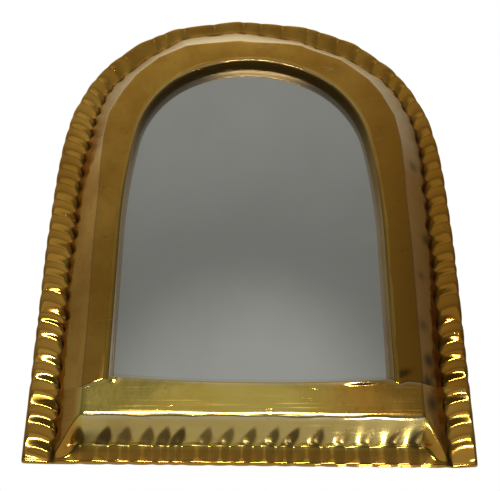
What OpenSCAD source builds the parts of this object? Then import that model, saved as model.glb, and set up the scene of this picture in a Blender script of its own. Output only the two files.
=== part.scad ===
// Small arched wall mirror in a pressed brass surround.
// The frame is drawn lying on its back, x across, y up from the bottom edge and z towards the
// viewer, and is stood upright at the end, with its face towards -Y and its rear rim in the plane
// y = 0. The origin is the middle of that rear rim plane, half way up the frame.

/* [Frame] */
// Width across the lower edge
frame_w = 200; // [170:1:240]
// Height from the lower edge to the crown of the arch
frame_h = 234; // [215:1:280]
// Thickness of the brass sheet
sheet_t = 0.5; // [0.4:0.05:0.6]

/* [Arch] */
// Radius of the slow bow where the sides lean in
side_r = 570; // [400:5:800]
// How far that bow turns, in degrees
side_turn = 6; // [3:0.5:8]
// Radius of the haunches
haunch_r = 83; // [74:1:92]
// Where the haunches give way to the crown, in degrees from the horizontal
haunch_end = 78; // [70:0.5:81]
// Number of straight facets that the sheet makes round each haunch
haunch_facets = 9; // [6:1:12]

/* [Hammered rim] */
// Width of the flat rim at the sides and over the arch
rim_w = 12.5; // [11:0.25:15]
// Width of the flat rim along the bottom
rim_bottom_w = 7.7; // [7:0.1:9]
// Height of the hemmed outer edge
hem_h = 2.2; // [2:0.05:2.6]
// How much higher the rim stands than its hemmed edge
rim_swell = 1; // [0.7:0.05:1.4]
// Width of the slope from the hem to the rim
hem_slope_w = 2.5; // [1.5:0.1:4]
// Width of the hem that is folded over the back
hem_back_w = 8; // [6:0.25:10]
// Spacing of the dents
dent_pitch = 10.3; // [9:0.1:12]
// Radius of a dent at its deep inner end
dent_r = 2; // [1.6:0.05:2.4]
// Radius of a dent at its shallow outer end
dent_outer_r = 6; // [5:0.1:8]
// Depth of a dent at its inner end
dent_depth = 1.3; // [0.8:0.05:1.35]
// Depth of a dent at its outer end
dent_outer_depth = 0.5; // [0.3:0.05:0.8]

/* [Raised band] */
// Width of the cove at the sides and over the arch
cove_w = 14; // [12:0.25:16]
// Width of the cove along the bottom
cove_bottom_w = 10.6; // [9:0.1:12]
// Height of the band above the hemmed edge
band_rise = 15; // [12:0.25:18]
// Half the angle that the cove bends through, in degrees
cove_bend = 14; // [8:1:18]
// Width of the bottom band, from the cove to the opening
band_bottom_w = 16; // [13:0.25:19]
// How far the bottom rail laps over the legs of the surround
lap = 5; // [3:0.5:7]

/* [Opening] */
// Width of the opening
opening_w = 124; // [112:1:126]
// Width of the frame above the opening, from the crown to the opening
crown_w = 36.8; // [35:0.25:42]
// Radius of the slow bow of the opening's sides
opening_side_r = 300; // [240:5:380]
// How far that bow turns, in degrees
opening_side_turn = 10; // [6:0.5:12]
// Radius of the opening's haunches
opening_haunch_r = 50; // [42:0.5:56]
// Where the opening's haunches give way to its crown, in degrees
opening_haunch_end = 62; // [50:0.5:70]
// Width of the reveal's edge that is folded over the band
reveal_fold_w = 2.2; // [1.5:0.1:3]
// Width of the folded foot of the reveal, on the glass
foot_w = 1; // [0.6:0.05:1.4]
// Height of that foot
foot_h = 1.6; // [1:0.05:2.4]

/* [Glass and backing] */
// Thickness of the mirror glass
glass_t = 2; // [1.8:0.1:2.4]
// How far the glass reaches behind the frame on every side
glass_lap = 7; // [5:0.25:8]
// Thickness of the wooden board behind the glass
board_t = 7.6; // [6:0.2:9]
// Thickness of the back plate
plate_t = 0.6; // [0.5:0.05:0.7]
// Free play of the back plate inside the folded hem
plate_play = 0.1; // [0.05:0.01:0.15]
// Gap between the edge of the back plate and the fold of the hem
plate_edge_gap = 0.3; // [0.2:0.05:0.6]

/* [Glass clips] */
// Length of a clip along the edge of the glass
clip_l = 8; // [5:0.5:12]
// Height of a clip's upright leaf, along board and glass
clip_h = 9.2; // [7:0.1:10.5]
// Length of the clip's foot on the back plate
clip_foot = 3.5; // [2.5:0.25:4.5]
// Gap between a clip and the edge of the glass
clip_gap = 0.2; // [0.1:0.05:0.4]
// Distance of the bottom clips from the middle
clip_x = 35; // [20:1:45]
// Height of the lower side clips
clip_low_y = 50; // [45:1:60]
// Height of the upper side clips
clip_high_y = 88; // [75:1:90]

/* [Hanger] */
// Drop of the ring's pivot below the crown of the arch
hanger_drop = 18; // [16:0.5:20]
// Width of the hanger strap
strap_w = 3.6; // [3:0.1:4.2]
// Thickness of the hanger strap
strap_t = 0.6; // [0.5:0.05:0.8]
// Length of the strap below the ring's pivot
strap_l = 10.5; // [9.5:0.25:11]
// Distance from the ring's pivot to the upper rivet
rivet_first = 4.4; // [4.2:0.1:5]
// Distance between the rivets
rivet_pitch = 3.6; // [3.4:0.1:4]
// Radius of a rivet's shank
rivet_r = 0.8; // [0.6:0.05:0.9]
// Radius of a rivet's head
rivet_head_r = 1.4; // [1.2:0.05:1.6]
// Height of a rivet's head
rivet_head_h = 0.5; // [0.4:0.05:0.7]
// Radius of the ring's wire
wire_r = 0.8; // [0.7:0.05:0.9]
// Radius of the ring, to the middle of its wire
ring_r = 8.5; // [8:0.25:10]
// Clearance between the wire and the strap's eye
eye_gap = 0.3; // [0.25:0.05:0.4]

/* [Hidden] */
small_fn = 40;
brass = [0.62, 0.45, 0.14];
bright_brass = [0.70, 0.55, 0.20];
dark_brass = [0.38, 0.26, 0.09];
silvered = [0.60, 0.62, 0.60];
softwood = [0.72, 0.57, 0.38];
plate_metal = [0.52, 0.40, 0.18];
wire_metal = [0.66, 0.52, 0.24];

// An outline is [half width, height of its crown, side radius, side turn, haunch radius, haunch end].
outer = [frame_w / 2, frame_h, side_r, side_turn, haunch_r, haunch_end];
opening = [opening_w / 2, frame_h - crown_w, opening_side_r, opening_side_turn,
           opening_haunch_r, opening_haunch_end];
opening_y = rim_bottom_w + cove_bottom_w + band_bottom_w;

rim_z = hem_h + rim_swell;
band_z = hem_h + band_rise;
plate_z = sheet_t + plate_play;
plate_front_z = plate_z + plate_t;
glass_z = plate_front_z + board_t;
glass_front_z = glass_z + glass_t;
cove_steps = 4;
past = 6;

pivot_y = frame_h - hanger_drop;
eye_r = wire_r + eye_gap;
eye_z = plate_z - strap_t - eye_r;
rivet_ys = [pivot_y - rivet_first, pivot_y - rivet_first - rivet_pitch];

function dir(angle) = [cos(angle), sin(angle)];
function crown_x(o) = o[0] - o[2] * (1 - cos(o[3])) - o[4] * (cos(o[3]) - cos(o[5]));
function crown_r(o) = crown_x(o) / cos(o[5]);
function arch_rise(o) = o[2] * sin(o[3]) + o[4] * (sin(o[5]) - sin(o[3])) + crown_r(o) * (1 - sin(o[5]));
function spring_y(o) = o[1] - arch_rise(o);
function side_c(o) = [o[0] - o[2], spring_y(o)];
function haunch_c(o) = side_c(o) + (o[2] - o[4]) * dir(o[3]);
function crown_c(o) = [0, o[1] - crown_r(o)];

// Lengths along one side of an outline, from its foot to the crown
function side_len(o) = o[2] * o[3] * PI / 180;
function haunch_len(o) = o[4] * (o[5] - o[3]) * PI / 180;
function crown_len(o) = crown_r(o) * (90 - o[5]) * PI / 180;
function half_len(o) = spring_y(o) + side_len(o) + haunch_len(o) + crown_len(o);

// Corners of an outline whose bends are short straight facets, from the lower right corner round
function right_corners(o, from_y, side_facets, haunch_facets, crown_facets) = concat(
  [[o[0], from_y]],
  [for (i = [0 : side_facets]) side_c(o) + o[2] * dir(o[3] * i / side_facets)],
  [for (i = [1 : haunch_facets]) haunch_c(o) + o[4] * dir(o[3] + (o[5] - o[3]) * i / haunch_facets)],
  [for (i = [1 : (crown_facets - 1) / 2])
    crown_c(o) + crown_r(o) * dir(o[5] + (90 - o[5]) * 2 * i / crown_facets)]
);
function both_sides(right) = concat(right, [for (i = [len(right) - 1 : -1 : 0]) [-right[i][0], right[i][1]]]);

// An outline moved inwards, by its own amount along the foot
function corner(c, k) = c[(k + len(c)) % len(c)];
function inward(c, k) = let (d = corner(c, k + 1) - corner(c, k)) [-d[1], d[0]] / norm(d);
function moved_in(c, by, foot_by) = [for (k = [0 : len(c) - 1]) let (
    a = inward(c, k - 1),
    b = inward(c, k),
    before = k == 0 ? foot_by : by,
    after = k == len(c) - 1 ? foot_by : by
  ) c[k] + (before * a + after * b) / (1 + a * b)];
function inset(c, by) = moved_in(c, by, by);

// The sheet is folded over the arch in facets that show; the opening's facets are too fine to see
edge_corners = both_sides(right_corners(outer, 0, 1, haunch_facets, 3));
opening_corners = both_sides(right_corners(opening, opening_y, 3, 13, 13));

// The cove bends from one slope to another; its face starts inwards of the edge by start, is w wide
// and is moved out by g
function slope(w) = atan2(band_z - rim_z, w);
function cove_r(w) = norm([w, band_z - rim_z]) / 2 / sin(cove_bend);
function cove_in(z, start, w, g) = let (
    low = slope(w) - cove_bend,
    turn = acos((rim_z + cove_r(w) * cos(low) - z) / (cove_r(w) - g))
  ) start - cove_r(w) * sin(low) + (cove_r(w) - g) * sin(turn);
function cove_z(i) = let (low = slope(cove_w) - cove_bend)
  rim_z + cove_r(cove_w) * (cos(low) - cos(low + 2 * cove_bend * i / cove_steps));

// Lines that run round the frame, as [inwards at the sides, inwards at the foot, height]
function ring_lines(g) = concat(
  [[-g, -g, hem_h + g], [hem_slope_w - g / 2, hem_slope_w - g / 2, rim_z + g]],
  [for (i = [0 : cove_steps]) let (z = cove_z(i) + g)
    [cove_in(z, rim_w, cove_w, g), cove_in(z, rim_bottom_w, cove_bottom_w, g), z]]
);

// The front of the frame in flat facets, from the top of its hemmed edge to the band
module pressed_front(g) {
  n = len(edge_corners);
  points = [for (line = ring_lines(g)) for (p = moved_in(edge_corners, line[0], line[1]))
    [p[0], p[1], line[2]]];
  polyhedron(points, concat(
    [[for (k = [0 : n - 1]) k]],
    [for (j = [0 : n : len(points) - 2 * n]) for (k = [0 : n - 1])
      [j + k, j + n + k, j + n + (k + 1) % n, j + (k + 1) % n]],
    [[for (k = [1 : n]) len(points) - k]]
  ));
}

// Puts a shape on the right-hand edge, a distance s along it, pointing inwards
module on_edge(o, s) {
  a = s - spring_y(o);
  b = a - side_len(o);
  c = b - haunch_len(o);
  if (a <= 0)
    translate([o[0], s, 0]) rotate([0, 0, 180]) children();
  else if (b <= 0)
    on_arc(side_c(o), o[2], a / side_len(o) * o[3]) children();
  else if (c <= 0)
    on_arc(haunch_c(o), o[4], o[3] + b / haunch_len(o) * (o[5] - o[3])) children();
  else
    on_arc(crown_c(o), crown_r(o), o[5] + c / crown_len(o) * (90 - o[5])) children();
}

module on_arc(centre, r, angle) {
  translate(centre) rotate([0, 0, angle]) translate([r, 0, 0]) rotate([0, 0, 180]) children();
}

// One dent, pointing inwards from the edge: a cone that gets deeper and narrower, with a round end
module dent(length, g) {
  end = length - dent_r / 2;
  outer_z = rim_z + dent_outer_r - dent_outer_depth;
  inner_z = rim_z + dent_r - dent_depth;
  tilt = atan2(outer_z - inner_z, end);
  translate([0, 0, outer_z]) rotate([0, 90 + tilt, 0])
    cylinder(h = norm([end, outer_z - inner_z]), r1 = dent_outer_r - g, r2 = dent_r - g, $fn = small_fn);
  translate([end, 0, inner_z]) sphere(r = dent_r - g, $fn = small_fn);
}

// Places of the dents: counts follow the pitch, and the rows stay symmetric
first_dent = rim_bottom_w + dent_pitch * 0.6;
side_count = floor((half_len(outer) - first_dent) / dent_pitch);
side_step = (half_len(outer) - first_dent) / (side_count + 0.5);
bottom_count = 2 * floor((frame_w / 2 - rim_w) / dent_pitch) + 1;

module side_dents(g, from_y, to_y) {
  for (i = [0 : side_count]) {
    s = first_dent + i * side_step;
    if (s > from_y && s < to_y) {
      on_edge(outer, s) dent(rim_w, g);
      mirror([1, 0, 0]) on_edge(outer, s) dent(rim_w, g);
    }
  }
}

module bottom_dents(g) {
  for (i = [0 : bottom_count - 1])
    translate([(i - (bottom_count - 1) / 2) * dent_pitch, 0, 0]) rotate([0, 0, 90])
      dent(rim_bottom_w, g);
}

// The solid behind the face of the sheet, moved out by g, from the height back_z forwards
module pressed_body(g, back_z) {
  difference() {
    union() {
      translate([0, 0, back_z]) linear_extrude(hem_h + g - back_z) polygon(inset(edge_corners, -g));
      pressed_front(g);
    }
    children();
  }
}

// The hole in the folded back hem
module back_window() {
  translate([0, 0, -past]) linear_extrude(past + sheet_t + plate_play / 2)
    polygon(inset(edge_corners, hem_back_w));
}

// Snips that let the hem fold flat round the arch
module hem_snips() {
  snip_count = floor((half_len(outer) - spring_y(outer)) / (2 * dent_pitch));
  snip_step = (half_len(outer) - spring_y(outer)) / (snip_count + 0.5);
  for (i = [0 : snip_count]) {
    s = spring_y(outer) + i * snip_step;
    on_edge(outer, s) snip();
    mirror([1, 0, 0]) on_edge(outer, s) snip();
  }
}

module snip() {
  translate([0, 0, -past]) linear_extrude(past + sheet_t + plate_play / 2)
    polygon([[1.5 * sheet_t + 0.8, 0], [hem_back_w + 1, 1], [hem_back_w + 1, -1]]);
}

module corner_snips() {
  for (side = [-1, 1])
    translate([side * frame_w / 2, 0, -past]) rotate([0, 0, 90 + side * 45])
      linear_extrude(past + sheet_t + plate_play / 2)
        polygon([[2 * sheet_t + 0.8, 0], [hem_back_w * 1.5, 1], [hem_back_w * 1.5, -1]]);
}

module below(y) {
  translate([-frame_w, y - frame_h, -past]) cube([2 * frame_w, frame_h, 2 * past + band_z]);
}

module above(y) {
  translate([-frame_w, y, -past]) cube([2 * frame_w, 2 * frame_h, 2 * past + band_z]);
}

module upright() {
  translate([0, 0, -frame_h / 2]) rotate([90, 0, 0]) children();
}

// Sides and arch in one pressed sheet; a tongue of each leg goes under the bottom rail
module arch_surround() {
  color(brass) upright() difference() {
    pressed_body(0, 0) side_dents(0, opening_y - lap - dent_outer_r, frame_h * 2);
    pressed_body(-sheet_t, sheet_t)
      side_dents(-sheet_t, opening_y - lap - dent_outer_r, frame_h * 2);
    back_window();
    hem_snips();
    translate([0, 0, -past]) linear_extrude(2 * past + band_z) union() {
      polygon(inset(opening_corners, -sheet_t));
      translate([-opening_w / 2 - sheet_t, 0]) square([opening_w + 2 * sheet_t, opening_y + sheet_t]);
    }
    below(opening_y - lap);
    intersection() {
      below(opening_y);
      translate([-frame_w, -past, -past]) cube([2 * frame_w, frame_h, past + plate_front_z + plate_play]);
    }
  }
}

// Lower rail with both lower corners, lapped over the legs, and the bottom wall of the opening
module bottom_rail() {
  color(bright_brass) upright() {
    difference() {
      pressed_body(sheet_t, 0) {
        side_dents(sheet_t, 0, opening_y + dent_outer_r);
        bottom_dents(sheet_t);
      }
      pressed_body(0, sheet_t) {
        side_dents(0, 0, opening_y + dent_outer_r);
        bottom_dents(0);
      }
      back_window();
      corner_snips();
      above(opening_y);
    }
    translate([-opening_w / 2, opening_y - sheet_t, glass_front_z])
      cube([opening_w, sheet_t, band_z - glass_front_z]);
  }
}

// A band that follows the opening, between two offsets from it
module reveal_band(from, to, height) {
  linear_extrude(height) difference() {
    polygon(inset(opening_corners, from));
    polygon(inset(opening_corners, to));
  }
}

// Wall of the opening at the sides and over the arch, with a folded front edge and a folded foot
module reveal_strip() {
  color(dark_brass) upright() difference() {
    union() {
      translate([0, 0, glass_front_z]) reveal_band(-sheet_t, 0, band_z + sheet_t - glass_front_z);
      translate([0, 0, band_z]) reveal_band(-sheet_t - reveal_fold_w, -sheet_t, sheet_t);
      translate([0, 0, glass_front_z]) reveal_band(0, foot_w, foot_h);
    }
    below(opening_y);
    foot_clearance();
  }
}

// The foot stops short of the rail's wall, whose own edge stands on the glass
module foot_clearance() {
  translate([-opening_w / 2 + foot_w, opening_y - past, glass_front_z - past])
    cube([opening_w - 2 * foot_w, past + foot_w * 2, 2 * past]);
}

// Arched pane, silvered on its back, larger than the opening
module mirror_glass() {
  color(silvered) upright() translate([0, 0, glass_z]) linear_extrude(glass_t)
    polygon(inset(opening_corners, -glass_lap));
}

// Board between the silvering and the back plate, which brings the glass forward
module backing_board() {
  color(softwood) upright() translate([0, 0, plate_front_z]) linear_extrude(board_t)
    polygon(inset(opening_corners, -glass_lap));
}

// Sheet that closes the back, held in the folded hem and drilled for the hanger's rivets
module back_plate() {
  color(plate_metal) upright() translate([0, 0, plate_z]) difference() {
    linear_extrude(plate_t) polygon(inset(edge_corners, sheet_t + plate_edge_gap));
    for (y = rivet_ys)
      translate([0, y, -past]) cylinder(h = 2 * past, r = rivet_r, $fn = small_fn);
  }
}

// One folded clip: the glass edge lies along x = 0, with the clip on its positive side
module clip() {
  translate([clip_gap, -clip_l / 2, plate_front_z]) {
    cube([sheet_t, clip_l, clip_h]);
    cube([clip_foot, clip_l, sheet_t]);
  }
}

// Clips soldered to the back plate round board and glass, which stop them sliding
module glass_clips() {
  color(wire_metal) upright() {
    for (side = [0, 1]) mirror([side, 0, 0]) {
      for (y = [clip_low_y, clip_high_y]) translate([opening_w / 2 + glass_lap, y, 0]) clip();
      translate([clip_x, opening_y - glass_lap, 0]) rotate([0, 0, -90]) clip();
    }
  }
}

// Strap folded round the ring's wire and riveted to the back plate
module hanger_strap() {
  color(brass) upright() difference() {
    union() {
      translate([-strap_w / 2, pivot_y - strap_l, plate_z - strap_t]) cube([strap_w, strap_l, strap_t]);
      translate([-strap_w / 2, pivot_y, eye_z]) rotate([0, 90, 0])
        cylinder(h = strap_w, r = eye_r + strap_t, $fn = small_fn);
    }
    translate([-strap_w, pivot_y, eye_z]) rotate([0, 90, 0])
      cylinder(h = 2 * strap_w, r = eye_r, $fn = small_fn);
    for (y = rivet_ys)
      translate([0, y, -past]) cylinder(h = 2 * past, r = rivet_r, $fn = small_fn);
  }
}

// Two rivets through the strap and the back plate
module strap_rivets() {
  color(dark_brass) upright() for (y = rivet_ys) translate([0, y, 0]) {
    translate([0, 0, plate_z - strap_t - rivet_head_h])
      cylinder(h = rivet_head_h, r = rivet_head_r, $fn = small_fn);
    translate([0, 0, plate_z - strap_t]) cylinder(h = strap_t + plate_t, r = rivet_r, $fn = small_fn);
    translate([0, 0, plate_front_z]) cylinder(h = rivet_head_h, r = rivet_head_r, $fn = small_fn);
  }
}

// Wire ring that swings in the strap's eye, drawn hanging down
module hanging_ring() {
  color(wire_metal) upright() translate([0, pivot_y - ring_r, eye_z])
    rotate_extrude($fn = 96) translate([ring_r, 0]) circle(r = wire_r, $fn = small_fn);
}

arch_surround();
bottom_rail();
reveal_strip();
mirror_glass();
backing_board();
back_plate();
glass_clips();
hanger_strap();
strap_rivets();
hanging_ring();
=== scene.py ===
# %% [markdown]
# # A hammered brass mirror, made in Blender
# The real thing is a small arched wall mirror. Two pressed sheets of thin brass make its front: one is
# bent over the arch and down both sides, and one is lapped over it along the bottom. This lesson loads
# the solid model as a fixed frame and gives each sheet the hand-made shape and the worn finish that the
# solids leave out. The frame comes first.

import bpy
import numpy as np
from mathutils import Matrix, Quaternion, Vector


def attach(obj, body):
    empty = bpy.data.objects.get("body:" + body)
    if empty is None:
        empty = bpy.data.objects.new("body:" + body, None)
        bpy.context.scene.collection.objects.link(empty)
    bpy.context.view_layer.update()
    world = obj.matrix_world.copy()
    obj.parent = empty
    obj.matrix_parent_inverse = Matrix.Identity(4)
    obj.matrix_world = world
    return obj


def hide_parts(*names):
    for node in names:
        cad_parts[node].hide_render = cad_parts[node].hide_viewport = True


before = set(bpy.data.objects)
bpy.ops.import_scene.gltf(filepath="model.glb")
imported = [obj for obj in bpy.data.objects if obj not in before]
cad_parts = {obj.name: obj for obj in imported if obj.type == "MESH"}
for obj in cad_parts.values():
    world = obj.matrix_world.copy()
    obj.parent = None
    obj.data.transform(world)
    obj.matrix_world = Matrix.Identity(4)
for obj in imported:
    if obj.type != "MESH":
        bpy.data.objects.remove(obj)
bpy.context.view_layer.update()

# %% [markdown]
# ## Drawing the frame lying down
# A maker draws such a frame lying on the bench: x across, y up from the bottom edge, z towards the eye.
# All shapes below are worked out that way in millimetres, and one helper stands them up in the frame's
# own axes. That keeps the numbers readable, and they are the same ones that the solids use.

# %% Stand up what was drawn lying down
MM = 0.001
FRAME_H = 234.0
HALF_W = 100.0


def stand_up(x, y, z):
    """Points drawn lying down, in millimetres, as upright points in metres."""
    x, y, z = np.broadcast_arrays(x, y, z)
    return np.stack([x * MM, -z * MM, (y - FRAME_H / 2) * MM], axis=-1)


print("bottom edge at", -FRAME_H / 2, "mm, rear rim at 0 mm")

# %% [markdown]
# ## The camera
# The photograph was taken from below the middle of the mirror and quite close, so the frame looks wider
# at its foot. A fitted perspective gives the distance, and the lens follows from it. The camera comes
# before the shapes, so that each of them can be looked at from that side as it is made.

# %% Set up the camera
PICTURE_W = 500
FOCAL_PX = 650
SENSOR_W = 36.0
EYE = Vector((-0.0146, -0.3011, -0.1235))
AIM = Vector((-0.0016, -0.0022, -0.0158))
ROLL = np.radians(-0.22)

lens = bpy.data.cameras.new("camera")
lens.sensor_width = SENSOR_W
lens.lens = FOCAL_PX / PICTURE_W * SENSOR_W
lens.clip_start = 0.01
camera = bpy.data.objects.new("camera", lens)
bpy.context.scene.collection.objects.link(camera)
sight = AIM - EYE
camera.location = EYE
camera.rotation_mode = "QUATERNION"
camera.rotation_quaternion = Quaternion(sight.normalized(), ROLL) @ sight.to_track_quat("-Z", "Y")
bpy.context.scene.camera = camera
print("camera is", round(1000 * sight.length), "mm from the frame")

# %% [markdown]
# ## Two outlines
# The outer edge and the opening are both arches of four bends: a straight foot, a slow bow, a haunch and
# a crown. One class traces either of them by distance along the edge, from the right foot over the crown
# to the left foot, because everything hammered into the sheet is spaced along that edge.

# %% Trace an arch by its length


class Arch:
    """An arched outline: a point on it for each distance along it, from the right foot to the left."""

    def __init__(self, half, top, side_r, side_turn, haunch_r, haunch_end):
        self.half, self.side_r, self.haunch_r = half, side_r, haunch_r
        self.turn, self.end = np.radians(side_turn), np.radians(haunch_end)
        reach = half - side_r * (1 - np.cos(self.turn))
        reach -= haunch_r * (np.cos(self.turn) - np.cos(self.end))
        self.crown_r = reach / np.cos(self.end)
        rise = side_r * np.sin(self.turn) + haunch_r * (np.sin(self.end) - np.sin(self.turn))
        self.spring = top - rise - self.crown_r * (1 - np.sin(self.end))
        self.crown_y = top - self.crown_r
        lengths = [self.spring, side_r * self.turn, haunch_r * (self.end - self.turn)]
        self.ends = np.cumsum(lengths)
        self.length = 2 * (self.ends[-1] + self.crown_r * (np.pi / 2 - self.end))

    def at(self, s):
        """x and y at distance s along the edge."""
        left = s > self.length / 2
        t = np.where(left, self.length - s, s)
        foot, bow, haunch = self.ends
        side_x = self.half - self.side_r
        haunch_x = side_x + (self.side_r - self.haunch_r) * np.cos(self.turn)
        haunch_y = self.spring + (self.side_r - self.haunch_r) * np.sin(self.turn)
        bend_1 = (t - foot) / self.side_r
        bend_2 = self.turn + (t - bow) / self.haunch_r
        bend_3 = self.end + (t - haunch) / self.crown_r
        part = [t < foot, t < bow, t < haunch]
        x_parts = [self.half + 0 * t, side_x + self.side_r * np.cos(bend_1)]
        x_parts += [haunch_x + self.haunch_r * np.cos(bend_2)]
        y_parts = [t, self.spring + self.side_r * np.sin(bend_1)]
        y_parts += [haunch_y + self.haunch_r * np.sin(bend_2)]
        x = np.select(part, x_parts, self.crown_r * np.cos(bend_3))
        y = np.select(part, y_parts, self.crown_y + self.crown_r * np.sin(bend_3))
        return np.where(left, -x, x), y


EDGE = Arch(half=HALF_W, top=FRAME_H, side_r=570, side_turn=6, haunch_r=83, haunch_end=78)
OPENING = Arch(half=62, top=197.2, side_r=300, side_turn=10, haunch_r=50, haunch_end=62)
OPENING_SHIFT = -0.9
print("edge is", round(EDGE.length), "mm round, the opening", round(OPENING.length), "mm")

# %% [markdown]
# ## Small helpers for sheet metal
# Pressed sheet has no sharp corners: a fold is always a small radius. Three helpers give that everywhere:
# one eases a step, one joins two surfaces by the higher with a soft crease, and one by the lower. A
# fourth smooths a line of numbers along the edge, which is how a facet gets its rounded corner.

# %% Soft steps and soft creases


def ease(t):
    """A smooth step from 0 to 1."""
    t = np.clip(t, 0, 1)
    return t * t * (3 - 2 * t)


def soft_max(a, b, radius):
    """The higher of two surfaces, with a soft crease between them."""
    return (a + b + np.sqrt((a - b) ** 2 + radius**2)) / 2


def soft_min(a, b, radius):
    """The lower of two surfaces, with a soft crease between them."""
    return (a + b - np.sqrt((a - b) ** 2 + radius**2)) / 2


def hill(t):
    """A bell that is 1 at t = 0."""
    return np.exp(-t * t)


def smoothed(line, width, step):
    """A line of values, smoothed over a width, with both spaced alike in mm."""
    reach = int(3 * width / step) + 1
    kernel = hill(np.arange(-reach, reach + 1) * step / width / np.sqrt(2))
    padded = np.pad(line, reach, mode="reflect", reflect_type="odd")
    return np.convolve(padded, kernel / kernel.sum(), mode="valid")


print("a soft crease at 0 is", float(soft_max(0, 0, 0.3)), "mm high")

# %% [markdown]
# ## The bent edge
# The sheet doesn't follow the arch in a smooth curve. It was folded over it in short flat facets, which
# show in the outline and again in the crease of the raised band. So the outline is traced, its arch is
# cut into facets at chosen corners, and the corners are rounded a little. Each point of the edge also
# gets the direction inwards, along which the sheet's profile is laid.

# %% Lay out the edge in facets
STEP = 0.6
ARCH_CENTRE_Y = 134.0
FACET_CORNERS = np.radians([3, 13, 24, 35, 43, 57, 73, 95, 115, 127, 139, 147, 158, 168, 177])
FACETED = 0.8
CORNER_SOFT, TURN_SOFT = 1.6, 2.5
edge_s = np.arange(0, EDGE.length + STEP / 2, STEP)


def round_angle(x, y, centre_y):
    """Angle round the arch, growing from the right foot to the left foot."""
    angle = np.arctan2(y - centre_y, x)
    return np.where((x < 0) & (angle < 0), angle + 2 * np.pi, angle)


def edge_line():
    """The faceted edge, and for each of its points the direction inwards."""
    x, y = EDGE.at(edge_s)
    corners = np.interp(FACET_CORNERS, round_angle(x, y, ARCH_CENTRE_Y), edge_s)
    ends = [0, EDGE.spring, EDGE.length - EDGE.spring, edge_s[-1]]
    corners = np.unique(np.concatenate([ends, corners]))
    flat_x = np.interp(edge_s, corners, np.interp(corners, edge_s, x))
    flat_y = np.interp(edge_s, corners, np.interp(corners, edge_s, y))
    x = smoothed(x + FACETED * (flat_x - x), CORNER_SOFT, STEP)
    y = smoothed(y + FACETED * (flat_y - y), CORNER_SOFT, STEP)
    dx = smoothed(np.gradient(x), TURN_SOFT, STEP)
    dy = smoothed(np.gradient(y), TURN_SOFT, STEP)
    size = np.hypot(dx, dy)
    return x, y, -dy / size, dx / size


edge_x, edge_y, in_x, in_y = edge_line()
print("points along the edge:", len(edge_s), "facets over the arch:", len(FACET_CORNERS) - 1)

# %% [markdown]
# ## Where the punch fell
# The rim was driven down by hand with a round punch, one blow after another, and the metal between two
# blows stayed up as a small crown. No two are alike. The distances between blows were judged
# from the photograph, and depth, length, slant and rise are drawn from a seeded generator, so that the
# same frame comes out each time.

# %% Place the dents and draw their small differences
chance = np.random.default_rng(11)
FIRST_DENT = 17
DENT_STEPS = [10, 10, 9, 8, 10, 14, 10, 6, 10, 11, 10, 10, 10, 10, 10, 12, 10, 10, 9]
DENT_STEPS += [13, 12, 14, 11, 7, 15, 12, 10, 17, 17, 12, 7, 20, 10, 10, 9, 7, 9, 7]
DENT_STEPS += [8, 8, 8, 8, 9, 8, 8, 8, 8, 7, 8, 10, 5, 7, 11, 8, 11, 8, 10]
FOOT_DENTS = [-75, -63, -54, -44, -37, -31, -19, -10, 0, 10, 18, 30, 41, 52, 64, 74, 86]
DEPTHS, LENGTHS = (0.75, 1.25), (-0.8, 0.8)
SLANTS, RISES = (-0.15, 0.15), (0.55, 1.1)
USUAL_GAP, END_GAP = 10, 11
NARROW, BROAD = 0.6, 1.2


class Blows:
    """A row of dents: their places and how each one came out."""

    def __init__(self, places):
        self.places = np.array(places, float)
        count = len(self.places)
        self.depth = chance.uniform(*DEPTHS, count)
        self.length = chance.uniform(*LENGTHS, count)
        self.slant = chance.uniform(*SLANTS, count)
        self.rise = chance.uniform(*RISES, count + 1)

    def near(self, s):
        """Distance from the nearest dent, its number, the share up the crown beside it and its height."""
        middles = (self.places[1:] + self.places[:-1]) / 2
        dent = np.searchsorted(middles, s)
        bounds = np.concatenate([[self.places[0] - END_GAP], self.places, [self.places[-1] + END_GAP]])
        gap = np.clip(np.searchsorted(bounds, s) - 1, 0, len(bounds) - 2)
        gap_w = bounds[gap + 1] - bounds[gap]
        share = np.clip((s - bounds[gap]) / gap_w, 0, 1)
        wide = np.clip(gap_w / USUAL_GAP, NARROW, BROAD)
        return s - self.places[dent], dent, (1 - np.cos(2 * np.pi * share)) / 2, wide * self.rise[gap]


edge_blows = Blows(FIRST_DENT + np.cumsum([0] + DENT_STEPS))
foot_blows = Blows(FOOT_DENTS)
print("dents:", len(edge_blows.places), "round the edge and", len(foot_blows.places), "along the foot")

# %% [markdown]
# ## One profile for the whole front
# Going in from the edge, the sheet has a low hem, the hammered rim, a cove and the raised band. The
# profile is one height that depends on the distance along the edge and the distance in from it. The rim
# slopes inwards. Each dent is a shallow valley that runs in from the edge and ends in a short steep wall,
# which is cut into the foot of the cove, so the line between rim and cove is scalloped. Rim and cove are
# joined by the higher of the two, and the walls of the dents are cut in by the lower. The foot was
# hammered with a flatter punch than the sides, so each has a style of its own.

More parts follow.
